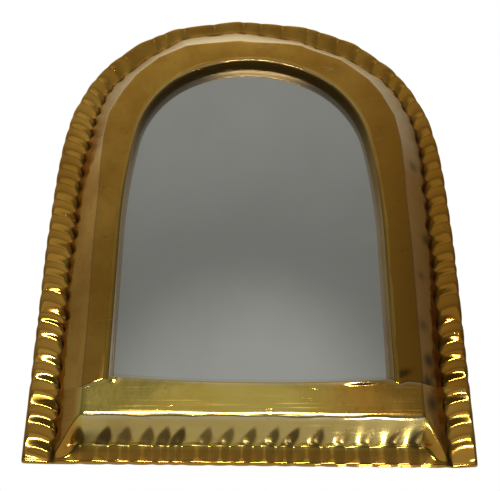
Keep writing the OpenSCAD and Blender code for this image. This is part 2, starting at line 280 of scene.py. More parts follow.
# %% Height of the pressed sheet
HEM_Z, RIM_Z, BAND_Z = 2.2, 3.65, 17.2
HEM_SLOPE = 1.0
FALL_FROM, RIM_FALL = 1.5, np.tan(np.radians(8.5))
COVE_BEND = np.radians(4)
CROWN, CROWN_FROM, CROWN_RUN = 0.55, -1.0, 4
VALLEY, VALLEY_W, VALLEY_RUN = 0.35, 2.4, 1.2
GROOVE, GROOVE_W, GROOVE_RUN = 0.18, 0.9, 2.5
DENT_WALL, WALL_SOFT, WALL_LIP = 2.2, 0.6, 0.3
DENT_SOFT, CROWN_SOFT = 0.5, 0.7
BOW_OUT, BOW_TURN, BOW_IN = 3.0, 1.9, 2.7
SIDE = dict(out=1.4, into=0.8, uneven=0.6, soft=0.5, hollow=0.10, length=3.0, lean=0.0, shift=0.0, wide=2.4)
FOOT = dict(out=0.0, into=0.0, uneven=0.0, soft=2.4, hollow=1.3, length=9.5, lean=0.47, shift=3.0, wide=2.9)
RIM_SIDE, RIDGE_SIDE = 12.5, 26.3
RIM_FOOT, RIDGE_FOOT = 7.7, 18.3


def cove_rise(t, width, rise):
    """Height over the cove's foot at the share t of its width; past both ends it runs on straight."""
    mean = np.arctan2(rise, width)
    low, high = mean - COVE_BEND, mean + COVE_BEND
    radius = np.hypot(width, rise) / 2 / np.sin(COVE_BEND)
    sine = np.sin(low) + np.clip(t, 0, 1) * width / radius
    bent = radius * (np.cos(low) - np.sqrt(1 - sine**2))
    return bent + np.minimum(t, 0) * width * np.tan(low) + np.maximum(t - 1, 0) * width * np.tan(high)


def above_dent(blows, s, inset, rim_w, style):
    """How near the middle of the streak that runs up the cove from a dent, 0 to 1, and its dent."""
    off, dent, _, _ = blows.near(s + style["shift"] - style["lean"] * (inset - rim_w))
    return hill((off - blows.slant[dent] * (inset - rim_w)) / style["wide"]), dent


def bowed(s, share, bow):
    """The dents' middles bend upwards on their way out to the edge."""
    on_rim = bow * BOW_OUT * share * (1 - BOW_TURN * share) * (share < 1)
    return s - on_rim + BOW_IN * bow * (share >= 1)


def wall_reach(blows, dent, style):
    """How far a dent's end wall is cut into the foot of the cove."""
    return style["out"] + style["into"] * blows.depth[dent] + style["uneven"] * blows.length[dent]


def hammered(blows, s, inset, rim_w, ridge, style, bow=0.0, strength=1.0, relief=1.0):
    """Height of rim and cove at distance s along a row of dents, inset in from the edge."""
    share = inset / rim_w
    along = bowed(s, share, bow)
    off, dent, crown, wide = blows.near(along)
    depth = blows.depth[dent]
    rim = HEM_Z + (RIM_Z - HEM_Z) * ease(inset / HEM_SLOPE) - RIM_FALL * np.maximum(inset - FALL_FROM, 0)
    rim = rim + relief * strength * CROWN * crown * wide * ease((inset - CROWN_FROM) / CROWN_RUN)
    rim = rim - relief * strength * VALLEY * depth * hill(off / VALLEY_W) * ease(share * VALLEY_RUN)
    rim = rim - strength * GROOVE * depth * hill(off / GROOVE_W) * ease(share * GROOVE_RUN)
    start = rim_w - style["out"]
    base = RIM_Z - RIM_FALL * (start - FALL_FROM)
    cove = base + cove_rise((inset - start) / (ridge - start), ridge - start, BAND_Z - base)
    streak, streak_dent = above_dent(blows, along, inset, rim_w, style)
    up = np.clip((inset - rim_w) / style["length"], 0, 1)
    cove = cove - strength * style["hollow"] * streak * (1 - ease(up)) * blows.depth[streak_dent]
    lobe = np.sqrt(np.clip(1 - crown, 0, 1))
    wall = base + DENT_WALL * (inset - start - strength * wall_reach(blows, dent, style) * lobe)
    open_face = soft_max(rim, cove, style["soft"] * (DENT_SOFT + CROWN_SOFT * crown))
    return soft_min(open_face, soft_max(rim, wall, WALL_SOFT), WALL_LIP)


mid_rim = hammered(edge_blows, edge_s, 8.0, RIM_SIDE, RIDGE_SIDE, SIDE)
print("rim is", mid_rim.min().round(2), "to", mid_rim.max().round(2), "mm high")

# %% [markdown]
# ## Painted shade and dirt in the dents
# The dents are darkened with painted shade, with some dirt as well: a cloth rides over the crowns and
# never gets down into the dents, so dirt stays on the floor of each dent and in the thin seam where its
# wall meets the cove. On the foot, a dark streak of painted shade with a rounded top leans up the cove
# from each dent. A painted picture could show this too, but here the marks are worked out from the same
# row of dents as the shape, so the two always agree.

# %% Painted shade and dirt in the dents, and the painted shade over the foot
# Painted shade, with some dirt, on the floors and end walls of the dents, and painted shade in the streaks
# over the foot.
FLOOR_REACH, FLOOR_FROM, FLOOR_FADE = 3.2, 0.2, 2.0
WALL_END, WALL_FADE = 0.9, 1.1
SHALLOW_SHADE_AND_DIRT, DEEP_SHADE_AND_DIRT, LOBE_FADE = 0.45, 0.55, 2.0
SEAM_SHADE_AND_DIRT, SEAM_AT, SEAM_W = 0.7, 0.7, 1.0
STREAK_LOW, STREAK_DOME, STREAK_FADE = 0.5, 5.0, 2.5
STREAK_FROM, STREAK_EDGE = 0.5, 1.2
STREAK_FILL = 1.5
STREAK_DEPTHS = (0.7, 1.2)


def pit_shade_and_dirt(blows, s, inset, rim_w, bow=0.0):
    """Painted shade and dirt at the side: on the floor and the end wall of each dent."""
    _, dent, crown, _ = blows.near(bowed(s, inset / rim_w, bow))
    lobe = np.clip(1 - crown, 0, 1)
    past_wall = inset - rim_w + SIDE["out"] - wall_reach(blows, dent, SIDE) * np.sqrt(lobe)
    floor = ease((past_wall + FLOOR_REACH * lobe + FLOOR_FROM) / FLOOR_FADE)
    floor = floor * (1 - ease((past_wall - WALL_END) / WALL_FADE))
    floor = floor * (SHALLOW_SHADE_AND_DIRT + DEEP_SHADE_AND_DIRT * lobe) * ease(lobe * LOBE_FADE)
    return np.maximum(floor, SEAM_SHADE_AND_DIRT * hill((past_wall - SEAM_AT) / SEAM_W))


def foot_streaks(s, inset):
    """Painted shade: the dark streaks that run up the foot's cove from each dent."""
    streak, dent = above_dent(foot_blows, s, inset, RIM_FOOT, FOOT)
    up = inset - RIM_FOOT
    top = STREAK_LOW + STREAK_DOME * np.clip(streak, 0, 1)
    window = ease((up + STREAK_FROM) / STREAK_EDGE + 0.5) * (1 - ease((up - top) / STREAK_FADE))
    return ease(STREAK_FILL * streak) * window * np.clip(foot_blows.depth[dent], *STREAK_DEPTHS)


rim_shade_and_dirt = pit_shade_and_dirt(edge_blows, edge_s, RIM_SIDE, RIM_SIDE)
print("dirt along the rim's inner line, on average:", rim_shade_and_dirt.mean().round(2))

# %% [markdown]
# ## Turning a grid of points into a sheet
# Each sheet is a grid: one way along the edge, the other across the profile. A grid makes clean
# four-sided faces, and it carries extra values with it: the distances along and across, for scratches
# that follow the metal, and masks for the finishes. They are wear with painted highlights on ridges and
# edges, painted shade with some dirt in hollows, brown old metal, green corrosion spots and dull satiny
# metal with a painted pale sheen, and the finishes read them later.

# %% Make a sheet from grids
# In order: wear with painted highlights, painted shade with dirt, brown old metal, green corrosion, dull
# metal with a painted sheen.
MASKS = ("rubbed", "hollow", "aged", "green", "dull_and_sheen")


def spots(places, x, y):
    """A mask of soft round spots, each given as x, y, radius and strength."""
    mask = 0 * x
    for spot_x, spot_y, radius, strength in places:
        mask = mask + strength * hill(np.hypot(x - spot_x, y - spot_y) / radius)
    return np.clip(mask, 0, 1)


def grid_faces(rows, columns, first):
    """The four-sided faces of a grid whose points are numbered from first."""
    index = np.arange(rows * columns).reshape(rows, columns) + first
    corners = [index[:-1, :-1], index[:-1, 1:], index[1:, 1:], index[1:, :-1]]
    return np.stack(corners, axis=-1).reshape(-1, 4)


def make_sheet(name, grids, material):
    """One object from several grids. Each grid is a dict of points, grain and any masks."""
    points, faces, extras = [], [], {key: [] for key in ("grain",) + MASKS}
    first = 0
    for grid in grids:
        rows, columns = grid["points"].shape[:2]
        quads = grid_faces(rows, columns, first)
        faces.append(quads[:, ::-1] if grid.get("flip") else quads)
        points.append(grid["points"].reshape(-1, 3))
        extras["grain"].append(grid["grain"].reshape(-1, 3))
        for key in MASKS:
            extras[key].append(np.broadcast_to(grid.get(key, 0.0), (rows, columns)).ravel())
        first += rows * columns
    mesh = bpy.data.meshes.new(name)
    mesh.from_pydata(np.concatenate(points), [], np.concatenate(faces))
    grain = mesh.attributes.new("grain", "FLOAT_VECTOR", "POINT")
    grain.data.foreach_set("vector", np.concatenate(extras["grain"]).astype(np.float32).ravel())
    for key in MASKS:
        values = mesh.attributes.new(key, "FLOAT", "POINT")
        values.data.foreach_set("value", np.concatenate(extras[key]).astype(np.float32))
    mesh.shade_smooth()
    mesh.materials.append(material)
    piece = bpy.data.objects.new(name, mesh)
    bpy.context.scene.collection.objects.link(piece)
    print(name, "has", len(mesh.vertices), "points and", len(mesh.polygons), "faces")
    return piece


print("a grid of 3 by 3 points has", len(grid_faces(3, 3, 0)), "faces")

# %% [markdown]
# ## Helpers for nodes
# A material is a small network of nodes, and wiring each one by hand hides what it does. Four helpers
# keep it readable: one starts a node group with named sockets, one adds a node with its values and
# links, one gives a socket either a value or a link, and one makes a smooth step out of a value.

# %% Add nodes and wire them


def group(name, inputs, outputs):
    """A new shader node group with named sockets, given as (name, type, default)."""
    tree = bpy.data.node_groups.new(name, "ShaderNodeTree")
    for label, kind, default in inputs:
        socket = tree.interface.new_socket(label, in_out="INPUT", socket_type=kind)
        if default is not None:
            socket.default_value = default
    for label, kind in outputs:
        tree.interface.new_socket(label, in_out="OUTPUT", socket_type=kind)
    return tree, tree.nodes.new("NodeGroupInput"), tree.nodes.new("NodeGroupOutput")


def add(tree, kind, links=None, **values):
    """A node of that kind: values go to its settings or sockets, links come from other nodes."""
    node = tree.nodes.new(kind)
    for key, value in values.items():
        if key in node.bl_rna.properties:
            setattr(node, key, value)
        else:
            node.inputs[key.replace("_", " ")].default_value = value
    for key, source in (links or {}).items():
        tree.links.new(source, node.inputs[key])
    return node


def feed(tree, socket, value):
    """Gives a socket a number or a colour, or links another socket to it."""
    if isinstance(value, bpy.types.NodeSocket):
        tree.links.new(value, socket)
    else:
        socket.default_value = value


def smooth_step(tree, value, low, high):
    """A smooth step from 0 to 1 between low and high, each of them a number or a socket."""
    node = add(tree, "ShaderNodeMapRange", {"Value": value}, interpolation_type="SMOOTHSTEP")
    feed(tree, node.inputs["From Min"], low)
    feed(tree, node.inputs["From Max"], high)
    return node.outputs["Result"]


print("node groups so far:", len(bpy.data.node_groups))

# %% [markdown]
# ## Tarnish clouds and beaten sheet
# Old brass isn't one colour: tarnish lies on it in soft clouds, and sheet that was beaten by hand is
# never quite flat. Every finish needs both, so each is a shader node group that is built once and placed
# in a material with its own values. Both are noise at the scale of the real thing, because a repeated
# pattern would show.

# %% Node groups for clouds and unevenness


def clouds_group():
    """Soft clouds of tarnish. From and To are the levels of the noise where a cloud starts and is full."""
    sockets = [("Vector", "NodeSocketVector", None), ("Size", "NodeSocketFloat", 40.0)]
    sockets += [("From", "NodeSocketFloat", 0.4), ("To", "NodeSocketFloat", 0.7)]
    tree, given, out = group("tarnish clouds", sockets, [("Mask", "NodeSocketFloat")])
    way = {"Vector": given.outputs["Vector"], "Scale": given.outputs["Size"]}
    noise = add(tree, "ShaderNodeTexNoise", way, Detail=5.0, Roughness=0.6)
    step = smooth_step(tree, noise.outputs["Fac"], given.outputs["From"], given.outputs["To"])
    tree.links.new(step, out.inputs["Mask"])
    return tree


def beaten_group():
    """The slight unevenness that a hammer leaves, as a height."""
    sockets = [("Vector", "NodeSocketVector", None), ("Scale", "NodeSocketFloat", 190.0)]
    tree, given, out = group("hand beaten", sockets, [("Height", "NodeSocketFloat")])
    way = {"Vector": given.outputs["Vector"], "Scale": given.outputs["Scale"]}
    noise = add(tree, "ShaderNodeTexNoise", way, Detail=2.0)
    tree.links.new(noise.outputs["Fac"], out.inputs["Height"])
    return tree


clouds, beaten = clouds_group(), beaten_group()
print("node groups:", clouds.name, "and", beaten.name)

# %% [markdown]
# ## Scratches
# Wiping leaves many fine scratches along the metal, and the years leave a few single ones across it. The
# fine ones are noise, drawn out along the grain of the sheet. A single scratch is a thin contour line of
# another noise, drawn out and turned and kept only in a few patches. That gives long curved lines without
# placing each by hand. More than one finish uses both, so both are node groups too.

# %% Node groups for scratches
FINE_FROM, FINE_TO = 0.5, 0.8
STRAY_TURN, STRAY_STRETCH = (0, 0.6, 0), (0.12, 1, 1)
CONTOUR = 0.5
PATCH_SIZE, PATCH_FROM, PATCH_TO = 55.0, 0.56, 0.64


def scratches_group():
    """Fine scratches: noise drawn out along the first direction of the vector."""
    sockets = [("Vector", "NodeSocketVector", None), ("Across", "NodeSocketFloat", 900.0)]
    sockets += [("Along", "NodeSocketFloat", 25.0), ("Amount", "NodeSocketFloat", 0.5)]
    tree, given, out = group("wiping scratches", sockets, [("Mask", "NodeSocketFloat")])
    along, across = given.outputs["Along"], given.outputs["Across"]
    scale = add(tree, "ShaderNodeCombineXYZ", {"X": along, "Y": across, "Z": across})
    way = {0: given.outputs["Vector"], 1: scale.outputs["Vector"]}
    stretch = add(tree, "ShaderNodeVectorMath", way, operation="MULTIPLY")
    noise = add(tree, "ShaderNodeTexNoise", {"Vector": stretch.outputs["Vector"]}, Scale=1.0, Detail=3.0)
    step = smooth_step(tree, noise.outputs["Fac"], FINE_FROM, FINE_TO)
    strength = add(tree, "ShaderNodeMath", {0: step, 1: given.outputs["Amount"]}, operation="MULTIPLY")
    tree.links.new(strength.outputs["Value"], out.inputs["Mask"])
    return tree


def stray_group():
    """Single thin scratches: contour lines of a drawn-out noise, kept only inside some patches."""
    sockets = [("Vector", "NodeSocketVector", None), ("Size", "NodeSocketFloat", 160.0)]
    sockets += [("Width", "NodeSocketFloat", 0.008)]
    tree, given, out = group("stray scratches", sockets, [("Mask", "NodeSocketFloat")])
    turned = add(tree, "ShaderNodeMapping", {"Vector": given.outputs["Vector"]})
    turned.inputs["Rotation"].default_value = STRAY_TURN
    turned.inputs["Scale"].default_value = STRAY_STRETCH
    way = {"Vector": turned.outputs["Vector"], "Scale": given.outputs["Size"]}
    lines = add(tree, "ShaderNodeTexNoise", way, Detail=0.0)
    line = {0: lines.outputs["Fac"], 2: given.outputs["Width"]}
    level = add(tree, "ShaderNodeMath", line, operation="COMPARE")
    level.inputs[1].default_value = CONTOUR
    unturned = {"Vector": given.outputs["Vector"]}
    patch = add(tree, "ShaderNodeTexNoise", unturned, Scale=PATCH_SIZE, Detail=1.0)
    some = smooth_step(tree, patch.outputs["Fac"], PATCH_FROM, PATCH_TO)
    both = add(tree, "ShaderNodeMath", {0: level.outputs["Value"], 1: some}, operation="MULTIPLY")
    tree.links.new(both.outputs["Value"], out.inputs["Mask"])
    return tree


scratches, stray = scratches_group(), stray_group()
print("node groups:", scratches.name, "and", stray.name)

# %% [markdown]
# ## Colour over colour
# A finish starts from one colour and lays others over it, each only where a mask says so. It could be
# painted by hand on an image, but masks that come with the sheet stay sharp at any distance and follow
# every dent. These helpers place a node group, mix two colours, read a mask and scale a value.

# %% Mix colours and read masks


def place(tree, kind, **values):
    """A node group placed in a material, with its own values."""
    node = tree.nodes.new("ShaderNodeGroup")
    node.node_tree = kind
    for key, value in values.items():
        node.inputs[key].default_value = value
    return node


def mix(tree, share, a, b):
    """Colour a where share is 0 and colour b where it is 1; each may be a colour or a socket."""
    node = tree.nodes.new("ShaderNodeMix")
    node.data_type = "RGBA"
    sockets = [node.inputs[0], node.inputs[6], node.inputs[7]]
    for socket, value in zip(sockets, (share, a, b)):
        feed(tree, socket, value)
    return node.outputs[2]


def mask_of(tree, name, share=1.0):
    """One of the sheet's masks, weakened to a share."""
    value = add(tree, "ShaderNodeAttribute", attribute_name=name).outputs["Fac"]
    part = add(tree, "ShaderNodeMath", {0: value}, operation="MULTIPLY", use_clamp=True)
    part.inputs[1].default_value = share
    return part.outputs["Value"]


def times_plus(tree, value, factor, plus):
    """value * factor + plus, where plus is a number or a socket."""
    node = add(tree, "ShaderNodeMath", {0: value}, operation="MULTIPLY_ADD")
    node.inputs[1].default_value = factor
    feed(tree, node.inputs[2], plus)
    return node.outputs["Value"]


print("masks that a finish can read:", ", ".join(MASKS))

# %% [markdown]
# ## One recipe for all the brass
# All the brass is the same metal in different states, so one function mixes every finish from a light
# and a deep colour, an aged colour and a roughness. Metal is never a flat colour: clouds, scratches and
# specks change its colour and roughness, and so do the sheet's masks. Wear and painted highlights are
# pale, dull metal is rough with a pale painted sheen, corrosion is a rough dark green, and dirt and
# painted shade are nearly black.

# %% Mix a brass finish
GREEN = (0.035, 0.06, 0.03, 1)
PALE_WEAR_AND_HIGHLIGHT = (0.97, 0.85, 0.52, 1)
DIRT_AND_SHADE = (0.05, 0.03, 0.01, 1)
# Covers: pale wear with painted highlights, dull metal with a painted pale sheen, green corrosion, and
# painted shade with dirt in the hollows.
COVERS = [("rubbed", 0.65, PALE_WEAR_AND_HIGHLIGHT), ("dull_and_sheen", 0.72, PALE_WEAR_AND_HIGHLIGHT), ("green", 0.9, GREEN), ("hollow", 0.85, DIRT_AND_SHADE)]
ROUGHER = {"hollow": 0.2, "green": 0.3, "dull_and_sheen": 0.38}
CLOUD_ROUGH, WIPED_ROUGH = 0.04, 0.16
SCRATCH_SHOWS, SPECK_SHOWS = 0.3, 0.25
WIPED_DEEP, SCRATCH_DEEP, BUMP_M = -0.15, -0.5, 0.0003


def brass_finish(name, light, deep, aged, rough, scratch=0.5, bump=0.25, on_solid=False):
    """A brass material. On a solid without a grain, the scratches follow the object's own axes."""
    material = bpy.data.materials.new(name)
    material.use_nodes = True
    tree = material.node_tree
    shader = tree.nodes["Principled BSDF"]
    shader.inputs["Metallic"].default_value = 1.0
    place_at = add(tree, "ShaderNodeTexCoord").outputs["Object"]
    grain = place_at
    if not on_solid:
        grain = add(tree, "ShaderNodeAttribute", attribute_name="grain").outputs["Vector"]
    cloud = place(tree, clouds, Size=28.0, From=0.35, To=0.68)
    speck = place(tree, clouds, Size=250.0, From=0.6, To=0.78)
    wiped = place(tree, scratches, Amount=scratch)
    lone = place(tree, stray, Width=0.003)
    uneven = place(tree, beaten, Scale=190.0)
    tree.links.new(grain, wiped.inputs["Vector"])
    for node in (cloud, speck, lone, uneven):
        tree.links.new(place_at, node.inputs["Vector"])
    colour = mix(tree, cloud.outputs["Mask"], light, deep)
    colour = mix(tree, mask_of(tree, "aged"), colour, aged)
    colour = mix(tree, times_plus(tree, lone.outputs["Mask"], SCRATCH_SHOWS, 0.0), colour, PALE_WEAR_AND_HIGHLIGHT)
    for mask, share, cover in COVERS:
        colour = mix(tree, mask_of(tree, mask, share), colour, cover)
    colour = mix(tree, times_plus(tree, speck.outputs["Mask"], SPECK_SHOWS, 0.0), colour, DIRT_AND_SHADE)
    tree.links.new(colour, shader.inputs["Base Color"])
    roughness = times_plus(tree, cloud.outputs["Mask"], CLOUD_ROUGH, rough)
    roughness = times_plus(tree, wiped.outputs["Mask"], WIPED_ROUGH, roughness)
    for mask, more in ROUGHER.items():
        roughness = times_plus(tree, mask_of(tree, mask), more, roughness)
    tree.links.new(roughness, shader.inputs["Roughness"])
    height = times_plus(tree, wiped.outputs["Mask"], WIPED_DEEP, uneven.outputs["Height"])
    height = times_plus(tree, lone.outputs["Mask"], SCRATCH_DEEP, height)
    bumps = add(tree, "ShaderNodeBump", {"Height": height}, Distance=BUMP_M, Strength=bump)
    tree.links.new(bumps.outputs["Normal"], shader.inputs["Normal"])
    return material


print("masks that cover the brass with another colour:", len(COVERS))

# %% [markdown]
# ## The five brasses
# The same recipe gives each part its own state. The sides and the arch are brown gold and shiny, the
# bottom rail is worn to a greener yellow, and the wall of the opening gets its darkness from painted
# shade. The strip and wire of the small parts are duller, and the back sheet, which nobody polishes, is
# the dullest.

# %% Mix the five finishes
side_brass = brass_finish(
    "side brass",
    light=(0.85, 0.47, 0.08, 1),
    deep=(0.63, 0.31, 0.04, 1),
    aged=(0.52, 0.24, 0.028, 1),
    rough=0.07,
)
rail_brass = brass_finish(
    "rail brass",
    light=(0.92, 0.70, 0.16, 1),
    deep=(0.80, 0.55, 0.09, 1),
    aged=(0.74, 0.39, 0.06, 1),
    rough=0.10,
    scratch=1.0,
)
reveal_brass = brass_finish(
    "reveal brass",
    light=(0.80, 0.48, 0.09, 1),
    deep=(0.66, 0.36, 0.055, 1),
    aged=(0.3, 0.15, 0.03, 1),
    rough=0.06,
)
small_brass = brass_finish(
    "small brass",
    light=(0.66, 0.46, 0.15, 1),
    deep=(0.42, 0.27, 0.07, 1),
    aged=(0.3, 0.17, 0.04, 1),
    rough=0.3,
    on_solid=True,
)
back_brass = brass_finish(
    "back sheet brass",
    light=(0.45, 0.32, 0.12, 1),
    deep=(0.27, 0.17, 0.055, 1),
    aged=(0.2, 0.12, 0.04, 1),
    rough=0.38,
    on_solid=True,
)
brasses = (side_brass, rail_brass, reveal_brass, small_brass, back_brass)
print("finishes:", ", ".join(material.name for material in brasses))

# %% [markdown]
# ## The seam between the two sheets
# The rail lies over both legs of the arch, and its upper edge is the seam that shows. It slopes down to
# the left, bows a little under the opening, and at the right it has curled and left a small notch. Both
# sheets depend on that line, the rail for its edge and the legs for where they go under, so one
# function draws it for both.

# %% Draw the seam
OPENING_Y = 34.6
SEAM_SAG = 2.1
OPEN_LEFT, OPEN_RIGHT = -62.4, 61.5
SEAM_END_LEFT = (-74.0, 30.4)
SEAM_END_RIGHT, RIGHT_SLOPE = 74.0, 0.12
NOTCH, NOTCH_X, NOTCH_W = 1.5, 63.0, 2.6


def seam_y(x):
    """Height of the rail's upper edge."""
    half = OPENING.half
    sag = OPENING_Y - SEAM_SAG * (1 - (np.clip(x, -half, half) / half) ** 2)
    slope = (OPENING_Y - SEAM_END_LEFT[1]) / (OPEN_LEFT - SEAM_END_LEFT[0])
    left = OPENING_Y + slope * (np.clip(x, SEAM_END_LEFT[0], OPEN_LEFT) - OPEN_LEFT)
    right = OPENING_Y - RIGHT_SLOPE * (np.clip(x, OPEN_RIGHT, SEAM_END_RIGHT) - OPEN_RIGHT)
    notch = NOTCH * hill((x - NOTCH_X) / NOTCH_W)
    return np.where(x < OPEN_LEFT, left, np.where(x > OPEN_RIGHT, right, sag)) - notch


print("seam at the left end, the middle and the right end, mm:", seam_y(np.array([-90, 0, 90])).round(1))

# %% [markdown]
# ## How the sides differ from the arch
# Rim and cove aren't the same width all the way round: a hand-made frame is narrower over one haunch and
# wider over the next. The dents also change, from deep and bowed low on the sides to shallow and straight
# over the arch. These are slow changes, so a short table and a few soft steps describe them well. The
# band is nearly flat, with a slow swell that makes its reflections wander as in real sheet.

# %% Widths, bow and relief along the edge
WIDTHS = [(0, 13.2, 26.3), (60, 12.3, 26.3), (125, 11.0, 26.0), (172, 9.6, 23.6), (205, 9.2, 23.8)]
WIDTHS += [(230, 11.4, 23.6), (254, 11.9, 24.3), (274, 10.4, 22.9), (295, 8.6, 24.2), (332, 8.0, 22.5)]
WIDTHS += [(352, 11.0, 22.8), (375, 12.0, 23.0), (394, 10.9, 23.8), (423, 12.6, 22.6), (465, 12.0, 25.2)]
WIDTHS += [(520, 12.4, 26.3), (589, 13.2, 26.3)]
WIDTH_SOFT = 5.0
BOW_RUN = 90
SIDE_RELIEF = 0.7
SIDE_DEEPER, DEEP_TO, DEEP_FADE = 0.8, 40, 70
ARCH_FLATTER, FLAT_FROM, FLAT_FADE = 0.1, 165, 40
BAND_RISE, BAND_SWELL = 0.7, 0.25
BAND_WAVES = [(0.10, 9.5, 0.0), (0.08, 15.0, 1.3)]
RAY_CENTRE_Y, KEY_PER_MM, RAYS = 120.0, 0.01, 2000


def edge_widths(s):
    """Width of the rim and inset of the ridge at a distance along the edge. Neither is even."""
    at, rims, ridges = np.array(WIDTHS).T
    rim_line = smoothed(np.interp(edge_s, at, rims), WIDTH_SOFT, STEP)
    ridge_line = smoothed(np.interp(edge_s, at, ridges), WIDTH_SOFT, STEP)
    return np.interp(s, edge_s, rim_line), np.interp(s, edge_s, ridge_line)


def side_bow(s):
    """The valleys of both sides bow upwards on their way out; over the arch they run straight out."""
    return np.clip((EDGE.length / 2 - s) / BOW_RUN, -1, 1)


def side_relief(y):
    """The dents are deepest low down on the sides and shallow over the arch."""
    deeper = SIDE_DEEPER * (1 - ease((y - DEEP_TO) / DEEP_FADE))
    return SIDE_RELIEF + deeper - ARCH_FLATTER * ease((y - FLAT_FROM) / FLAT_FADE)


def waves(t, parts):
    """A slow unevenness: a sum of sine waves, each given as height, length and start."""
    return sum(height * np.sin(t / length + start) for height, length, start in parts)


def band_height(share, s):
    """The band rises a little to the opening, and isn't quite flat."""
    middle = np.sin(np.pi * share)
    return BAND_Z + BAND_RISE * share + BAND_SWELL * middle + waves(s, BAND_WAVES) * middle


def opening_match(x, y):
    """The point of the opening that faces each point of the edge: level with it, or along a ray."""
    ox, oy = OPENING.at(np.linspace(0, OPENING.length, RAYS))

    def turn_key(px, py):
        key = round_angle(px, np.maximum(py, RAY_CENTRE_Y), RAY_CENTRE_Y)
        below = KEY_PER_MM * np.maximum(RAY_CENTRE_Y - py, 0)
        return np.where(px > 0, key - below, key + below)

    keys = turn_key(ox, oy)
    wanted = turn_key(x, y)
    return np.interp(wanted, keys, ox) + OPENING_SHIFT, np.interp(wanted, keys, oy)


rim_widths, ridge_insets = edge_widths(edge_s)
print("rim, mm wide:", rim_widths.min().round(1), "to", rim_widths.max().round(1))
print("ridge, mm in:", ridge_insets.min().round(1), "to", ridge_insets.max().round(1))

# %% [markdown]
# ## The arch and both sides
# The first sheet runs from its tongue under the right end of the rail, over the arch, to its tongue on
# the left. Across the profile it starts behind the back plate with the folded hem, turns round the edge,
# crosses rim and cove to the ridge, and then goes straight to the opening. The ridge and the opening are
# not parallel, so the band between them is a blend from one line to the other. Rows of points lie closest
# where the sheet bends most: at the ridge and at the opening.

# %% Points of the arch and sides
FOOT_OF_LEGS = 28.0
FIRST_IN = 0.35
FRONT_ROWS = np.concatenate([np.linspace(FIRST_IN, 22.0, 44), np.arange(22.4, 26.31, 0.26)]) / RIDGE_SIDE
BAND_ROWS = np.concatenate([np.linspace(0, 0.1, 9)[1:], np.linspace(0.1, 0.96, 30)[1:], [0.98, 0.99, 1.0]])
EDGE_PULL, PULL_W, PULL_RUN = 0.3, 1.8, 4
RIDGE_SOFT = 0.45
HEM_BACK = 8.0
HEM_PROFILE = [(1.0, 0.22), (1.0, 0.0), (0.6, 0.0), (0.3, 0.0), (0.1, 0.0), (0.03, 0.05)]
HEM_PROFILE += [(0.0, 0.25), (0.0, 0.55), (0.003, 0.8), (0.02, 0.95)]
RIDGE_X = 75
UNDER_LAP, UNDER_FLUSH = 0.3, -0.1
FACE_Z = 1.0
TONGUE_DROP, TONGUE_RUN = 0.6, 1.2
HEM_LIFT, HEM_INTO, HEM_RUN = 0.3, 0.25, 0.6


def tuck_under(x, y, z):
    """Below the seam the legs go under the rail: the face drops, and the hem draws forward and in."""
    under = seam_y(x) + np.where(np.abs(x) < RIDGE_X, UNDER_LAP, UNDER_FLUSH)
    face = z > FACE_Z
    below = ease((under - y) / HEM_RUN)
    z = z - TONGUE_DROP * ease((under - y) / TONGUE_RUN) * face
    z = z + HEM_LIFT * below * (1 - face)
    return x - HEM_INTO * below * np.sign(x), z


def arch_points():
    """The arch's grid lying down, and for each point its place along the edge and in from it."""
    keep = edge_y > FOOT_OF_LEGS
    s, x, y, nx, ny = (v[keep][:, None] for v in (edge_s, edge_x, edge_y, in_x, in_y))
    rim_w, ridge = edge_widths(s)
    bow = side_bow(s)
    inset = FRONT_ROWS[None, :] * ridge
    front = hammered(edge_blows, s, inset, rim_w, ridge, SIDE, bow, relief=side_relief(y))
    front = soft_min(front, band_height(0, s), RIDGE_SOFT)
    off, dent, _, _ = edge_blows.near(s)
    pull = EDGE_PULL * hill(off / PULL_W) * edge_blows.depth[dent]
    reach = inset + pull * (1 - ease(inset / PULL_RUN))
    across = BAND_ROWS[None, :]
    ox, oy = opening_match(x, y)
    ridge_x, ridge_y = x + nx * ridge, y + ny * ridge
    past_ridge = across * np.hypot(ox - ridge_x, oy - ridge_y)
    cove_on = hammered(edge_blows, s, ridge + past_ridge, rim_w, ridge, SIDE, bow)
    band = soft_min(cove_on, band_height(across, s), RIDGE_SOFT)
    hem = np.array(HEM_PROFILE)
    hem_in = hem[None, :, 0] * HEM_BACK + pull
    hem_z = hem[None, :, 1] * front[:, :1]
    all_x = np.concatenate([x + nx * hem_in, x + nx * reach, ridge_x + across * (ox - ridge_x)], axis=1)
    all_y = np.concatenate([y + ny * hem_in, y + ny * reach, ridge_y + across * (oy - ridge_y)], axis=1)
    all_z = np.concatenate([hem_z, front, band], axis=1)
    all_x, all_z = tuck_under(all_x, all_y, all_z)
    in_all = np.concatenate([hem_in, inset, ridge + past_ridge], axis=1)
    return all_x, all_y, all_z, s, in_all


arch_x, arch_y, arch_z, arch_s, arch_in = arch_points()
print("the arch's grid has", arch_x.shape[0], "by", arch_x.shape[1], "points")

# %% [markdown]
# ## Painted shade, painted highlights, dirt and wear of the arch
# The masks say where each mark lies. Painted shade with some dirt sits in the dents, less of it over the
# arch, and painted shade fills the small slanted gap beside the notch. The right side is browner than the
# left. Green corrosion spots sit in the coves, and the cove over the arch is dull and satiny where the rest
# shines, with a painted pale sheen. A faint painted highlight, with some wear, runs along the ridge.

